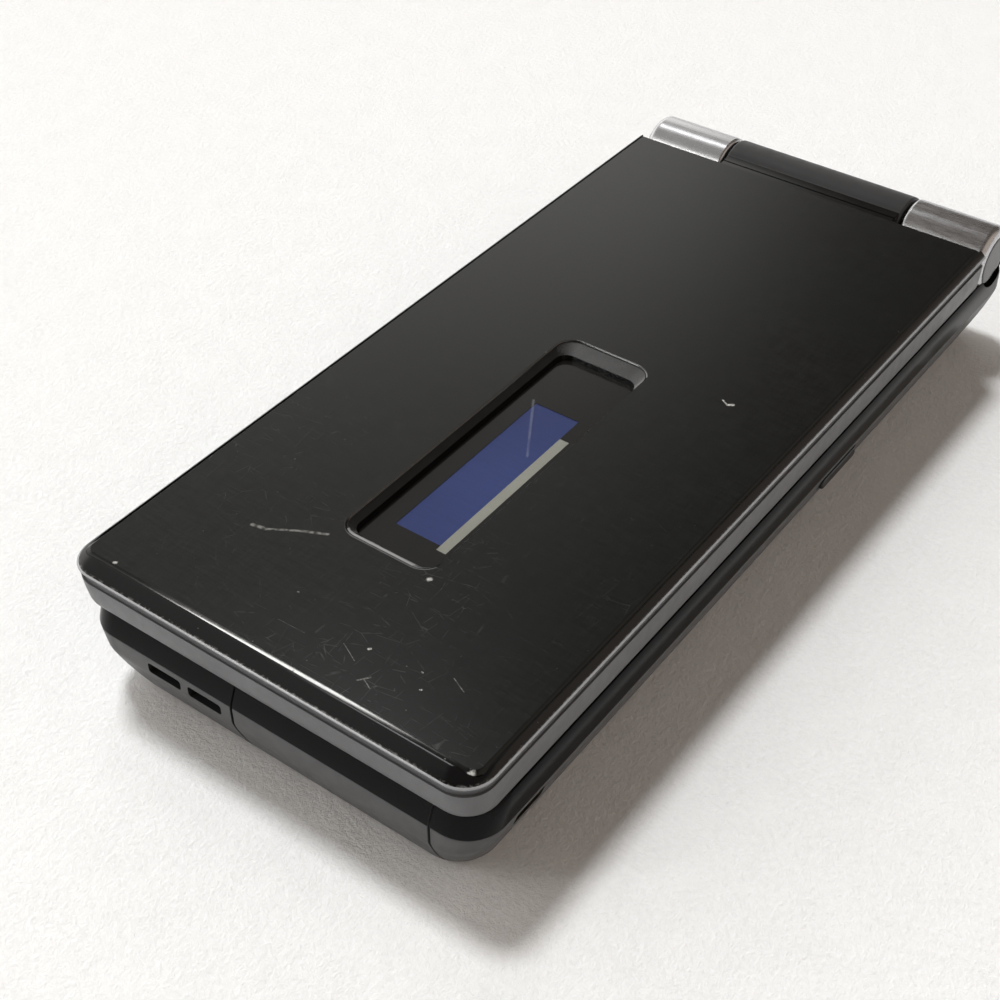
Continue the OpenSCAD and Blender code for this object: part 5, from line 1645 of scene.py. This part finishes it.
def make_world():
    """Soft room: dim above, brighter low on the left, a little on the right."""
    world = bpy.data.worlds.new("studio")
    bpy.context.scene.world = world
    world.use_nodes = True
    tree = world.node_tree
    background = tree.nodes["Background"]

    def node(kind, inputs=None, **settings):
        return add_node(tree, kind, inputs, settings)

    def calc(operation, a, b):
        return node("ShaderNodeMath", {0: a, 1: b}, operation=operation).outputs[0]

    def ease(value, low, high, to_low, to_high):
        return node("ShaderNodeMapRange", {
            "Value": value, "From Min": low, "From Max": high, "To Min": to_low, "To Max": to_high},
            interpolation_type="SMOOTHSTEP").outputs[0]

    way = node("ShaderNodeTexCoord").outputs["Generated"]
    split = node("ShaderNodeSeparateXYZ", {0: way})
    across, up = split.outputs[0], split.outputs[2]
    left = calc("MULTIPLY", ease(across, -0.33, -0.46, 0.0, 1.65), ease(up, 0.49, 0.64, 1.0, 0.3))
    right = ease(across, 0.3, 0.6, 0.0, 0.48)
    above = ease(up, 0.2, 0.5, 0.09, 0.13)
    total = calc("ADD", calc("ADD", left, right), above)
    share = node("ShaderNodeMapRange", {"Value": left, "From Max": 0.3, "To Min": 0.0, "To Max": 1.0})
    warm, pale = (1.0, 0.86, 0.74, 1.0), (1.0, 0.98, 0.94, 1.0)
    mixed = node("ShaderNodeMix", {0: share.outputs[0], 6: warm, 7: pale}, data_type="RGBA")
    tree.links.new(mixed.outputs[2], background.inputs["Color"])
    tree.links.new(total, background.inputs["Strength"])


def make_backdrop():
    """Pale round wall, low and far off, that closes the floor on every side."""
    bm = prisms([circle(0, 0, 2200, 96)], -1, 260)
    bmesh.ops.delete(bm, geom=[f for f in bm.faces if len(f.verts) > 4], context="FACES")
    f = Finish("backdrop pale", (0.82, 0.82, 0.83), 0.9, {"Specular IOR Level": 0.1})
    cloud = f.noise(0.002, 2.0)
    f.paint(f.mix(f.remap(cloud, 0.3, 0.7, 0, 1), f.shade_of(0.98), f.shade_of(1.02)))
    path = f.node("ShaderNodeLightPath")
    rays = ("Is Camera Ray", "Is Glossy Ray", "Is Transmission Ray")
    seen = f.together([path.outputs[name] for name in rays])
    glow = f.node("ShaderNodeEmission", {"Color": (0.93, 0.93, 0.94, 1.0), "Strength": 0.95}).outputs[0]
    mixed = f.node("ShaderNodeMixShader", {0: seen, 1: f.shader.outputs[0], 2: glow})
    f.tree.links.new(mixed.outputs[0], f.tree.nodes["Material Output"].inputs["Surface"])
    wall = new_object("backdrop", bm, f.material)
    wall.visible_shadow = False


def make_key_light():
    """Soft main light from high on the left, a little behind the phone."""
    lamp = make_lamp("key light", "SUN", (-0.352, 0.139, 0.926), (0, 0, 0), 2.35, (0.985, 1.0, 1.0))
    lamp.data.angle = math.radians(11)
    lamp.visible_glossy = lamp.visible_transmission = False


def make_stage():
    """Camera, surroundings and lamps."""
    bpy.context.scene.view_settings.view_transform = "Standard"
    make_camera()
    make_world()
    make_floor()
    make_backdrop()
    make_key_light()
    make_panel_lamp("front light", (-0.497, -0.641, 0.654), (0, -0.054, 0.017), 0.10, 0.30, 0.8,
                    (1.0, 0.99, 0.96))
    make_panel_lamp("upper light", (-0.43, 0.35, 0.85), (0, 0, 0.017), 0.14, 0.14, 0.4)


# ---- operators ------------------------------------------------------------------------------

class PHONE_OT_stage(bpy.types.Operator):
    """Make the floor, the lamps, the surroundings and the camera"""

    bl_idname = "phone.stage"
    bl_label = "Stage"

    def execute(self, context):
        make_stage()
        return {"FINISHED"}


class PHONE_OT_lid_frame(bpy.types.Operator):
    """Make the glossy frame of the lid and its hinge barrel"""

    bl_idname = "phone.lid_frame"
    bl_label = "Lid frame"

    def execute(self, context):
        make_outer_case()
        return {"FINISHED"}


class PHONE_OT_top_plate(bpy.types.Operator):
    """Make the brushed metal plate of the lid"""

    bl_idname = "phone.top_plate"
    bl_label = "Top plate"

    def execute(self, context):
        make_plate()
        return {"FINISHED"}


class PHONE_OT_lid_face(bpy.types.Operator):
    """Make the shell around the main display"""

    bl_idname = "phone.lid_face"
    bl_label = "Lid face"

    def execute(self, context):
        make_inner_case()
        return {"FINISHED"}


class PHONE_OT_main_window(bpy.types.Operator):
    """Make the glass over the main display"""

    bl_idname = "phone.main_window"
    bl_label = "Main display glass"

    def execute(self, context):
        make_main_window()
        return {"FINISHED"}


class PHONE_OT_outer_display(bpy.types.Operator):
    """Make the small display in the lid and its window"""

    bl_idname = "phone.outer_display"
    bl_label = "Outer display"

    def execute(self, context):
        make_outer_window()
        return {"FINISHED"}


class PHONE_OT_front_case(bpy.types.Operator):
    """Make the deck and the hinge knuckles"""

    bl_idname = "phone.front_case"
    bl_label = "Front case"

    def execute(self, context):
        make_front_case()
        return {"FINISHED"}


class PHONE_OT_rear_case(bpy.types.Operator):
    """Make the lower shell of the base"""

    bl_idname = "phone.rear_case"
    bl_label = "Rear case"

    def execute(self, context):
        make_rear_case()
        return {"FINISHED"}


class PHONE_OT_port_flap(bpy.types.Operator):
    """Make the flap over the port"""

    bl_idname = "phone.port_flap"
    bl_label = "Port flap"

    def execute(self, context):
        make_port_flap()
        return {"FINISHED"}


class PHONE_OT_battery_cover(bpy.types.Operator):
    """Make the cover of the battery bay"""

    bl_idname = "phone.battery_cover"
    bl_label = "Battery cover"

    def execute(self, context):
        make_battery_cover()
        return {"FINISHED"}


class PHONE_OT_number_keys(bpy.types.Operator):
    """Make the twelve number keys"""

    bl_idname = "phone.number_keys"
    bl_label = "Number keys"

    def execute(self, context):
        for name in key_nodes():
            if name in DIGITS:
                make_key(name)
        return {"FINISHED"}


class PHONE_OT_function_keys(bpy.types.Operator):
    """Make the seven keys around the ring"""

    bl_idname = "phone.function_keys"
    bl_label = "Function keys"

    def execute(self, context):
        for name in key_nodes():
            if name not in DIGITS:
                make_key(name)
        return {"FINISHED"}


class PHONE_OT_navigation(bpy.types.Operator):
    """Make the ring and its centre key"""

    bl_idname = "phone.navigation"
    bl_label = "Navigation ring"

    def execute(self, context):
        make_nav()
        return {"FINISHED"}


class PHONE_OT_side_key(bpy.types.Operator):
    """Make the key in the right side"""

    bl_idname = "phone.side_key"
    bl_label = "Side key"

    def execute(self, context):
        make_side_key()
        return {"FINISHED"}


class PHONE_OT_end_caps(bpy.types.Operator):
    """Make the caps at the ends of the hinge"""

    bl_idname = "phone.end_caps"
    bl_label = "Hinge caps"

    def execute(self, context):
        make_end_caps()
        return {"FINISHED"}


class PHONE_OT_screws(bpy.types.Operator):
    """Make the screws of the base and of the lid"""

    bl_idname = "phone.screws"
    bl_label = "Screws"

    def execute(self, context):
        make_screws("base_screw_set", "base_screws", "base", *span("base_screws", 2))
        make_screws("lid_screw_set", "lid_screws", "lid", *span("lid_screws", 2))
        return {"FINISHED"}


class PHONE_OT_pads(bpy.types.Operator):
    """Make the soft pads of the lid"""

    bl_idname = "phone.pads"
    bl_label = "Pads"

    def execute(self, context):
        make_pads()
        return {"FINISHED"}


class PHONE_OT_inner_parts(bpy.types.Operator):
    """Finish the parts that lie inside"""

    bl_idname = "phone.inner_parts"
    bl_label = "Inner parts"

    def execute(self, context):
        finish_inner_parts()
        return {"FINISHED"}


OPERATORS = (
    PHONE_OT_stage, PHONE_OT_lid_frame, PHONE_OT_top_plate, PHONE_OT_lid_face,
    PHONE_OT_main_window, PHONE_OT_outer_display, PHONE_OT_front_case, PHONE_OT_rear_case,
    PHONE_OT_port_flap, PHONE_OT_battery_cover, PHONE_OT_number_keys, PHONE_OT_function_keys,
    PHONE_OT_navigation, PHONE_OT_side_key, PHONE_OT_end_caps, PHONE_OT_screws, PHONE_OT_pads,
    PHONE_OT_inner_parts,
)


class PHONE_PT_panel(bpy.types.Panel):
    """Sidebar panel with the phone's pieces, sizes and colours."""

    bl_label = "Phone"
    bl_idname = "PHONE_PT_panel"
    bl_space_type = "VIEW_3D"
    bl_region_type = "UI"
    bl_category = "Phone"

    def draw(self, context):
        layout = self.layout
        for group in (context.scene.phone_sizes, context.scene.phone_colours):
            box = layout.box()
            for name in group.__annotations__:
                box.prop(group, name)
        column = layout.column(align=True)
        for operator in OPERATORS:
            column.operator(operator.bl_idname)


CLASSES = [PhoneSizes, PhoneColours, PHONE_PT_panel, *OPERATORS]


def register():
    """Adds the classes and the two groups of the scene."""
    for cls in CLASSES:
        bpy.utils.register_class(cls)
    bpy.types.Scene.phone_sizes = bpy.props.PointerProperty(type=PhoneSizes)
    bpy.types.Scene.phone_colours = bpy.props.PointerProperty(type=PhoneColours)


def unregister():
    """Takes them away again."""
    del bpy.types.Scene.phone_sizes
    del bpy.types.Scene.phone_colours
    for cls in reversed(CLASSES):
        bpy.utils.unregister_class(cls)


def main():
    """Makes every piece in order."""
    register()
    for operator in OPERATORS:
        getattr(bpy.ops.phone, operator.bl_idname.split(".")[1])()


if __name__ == "__main__":
    main()
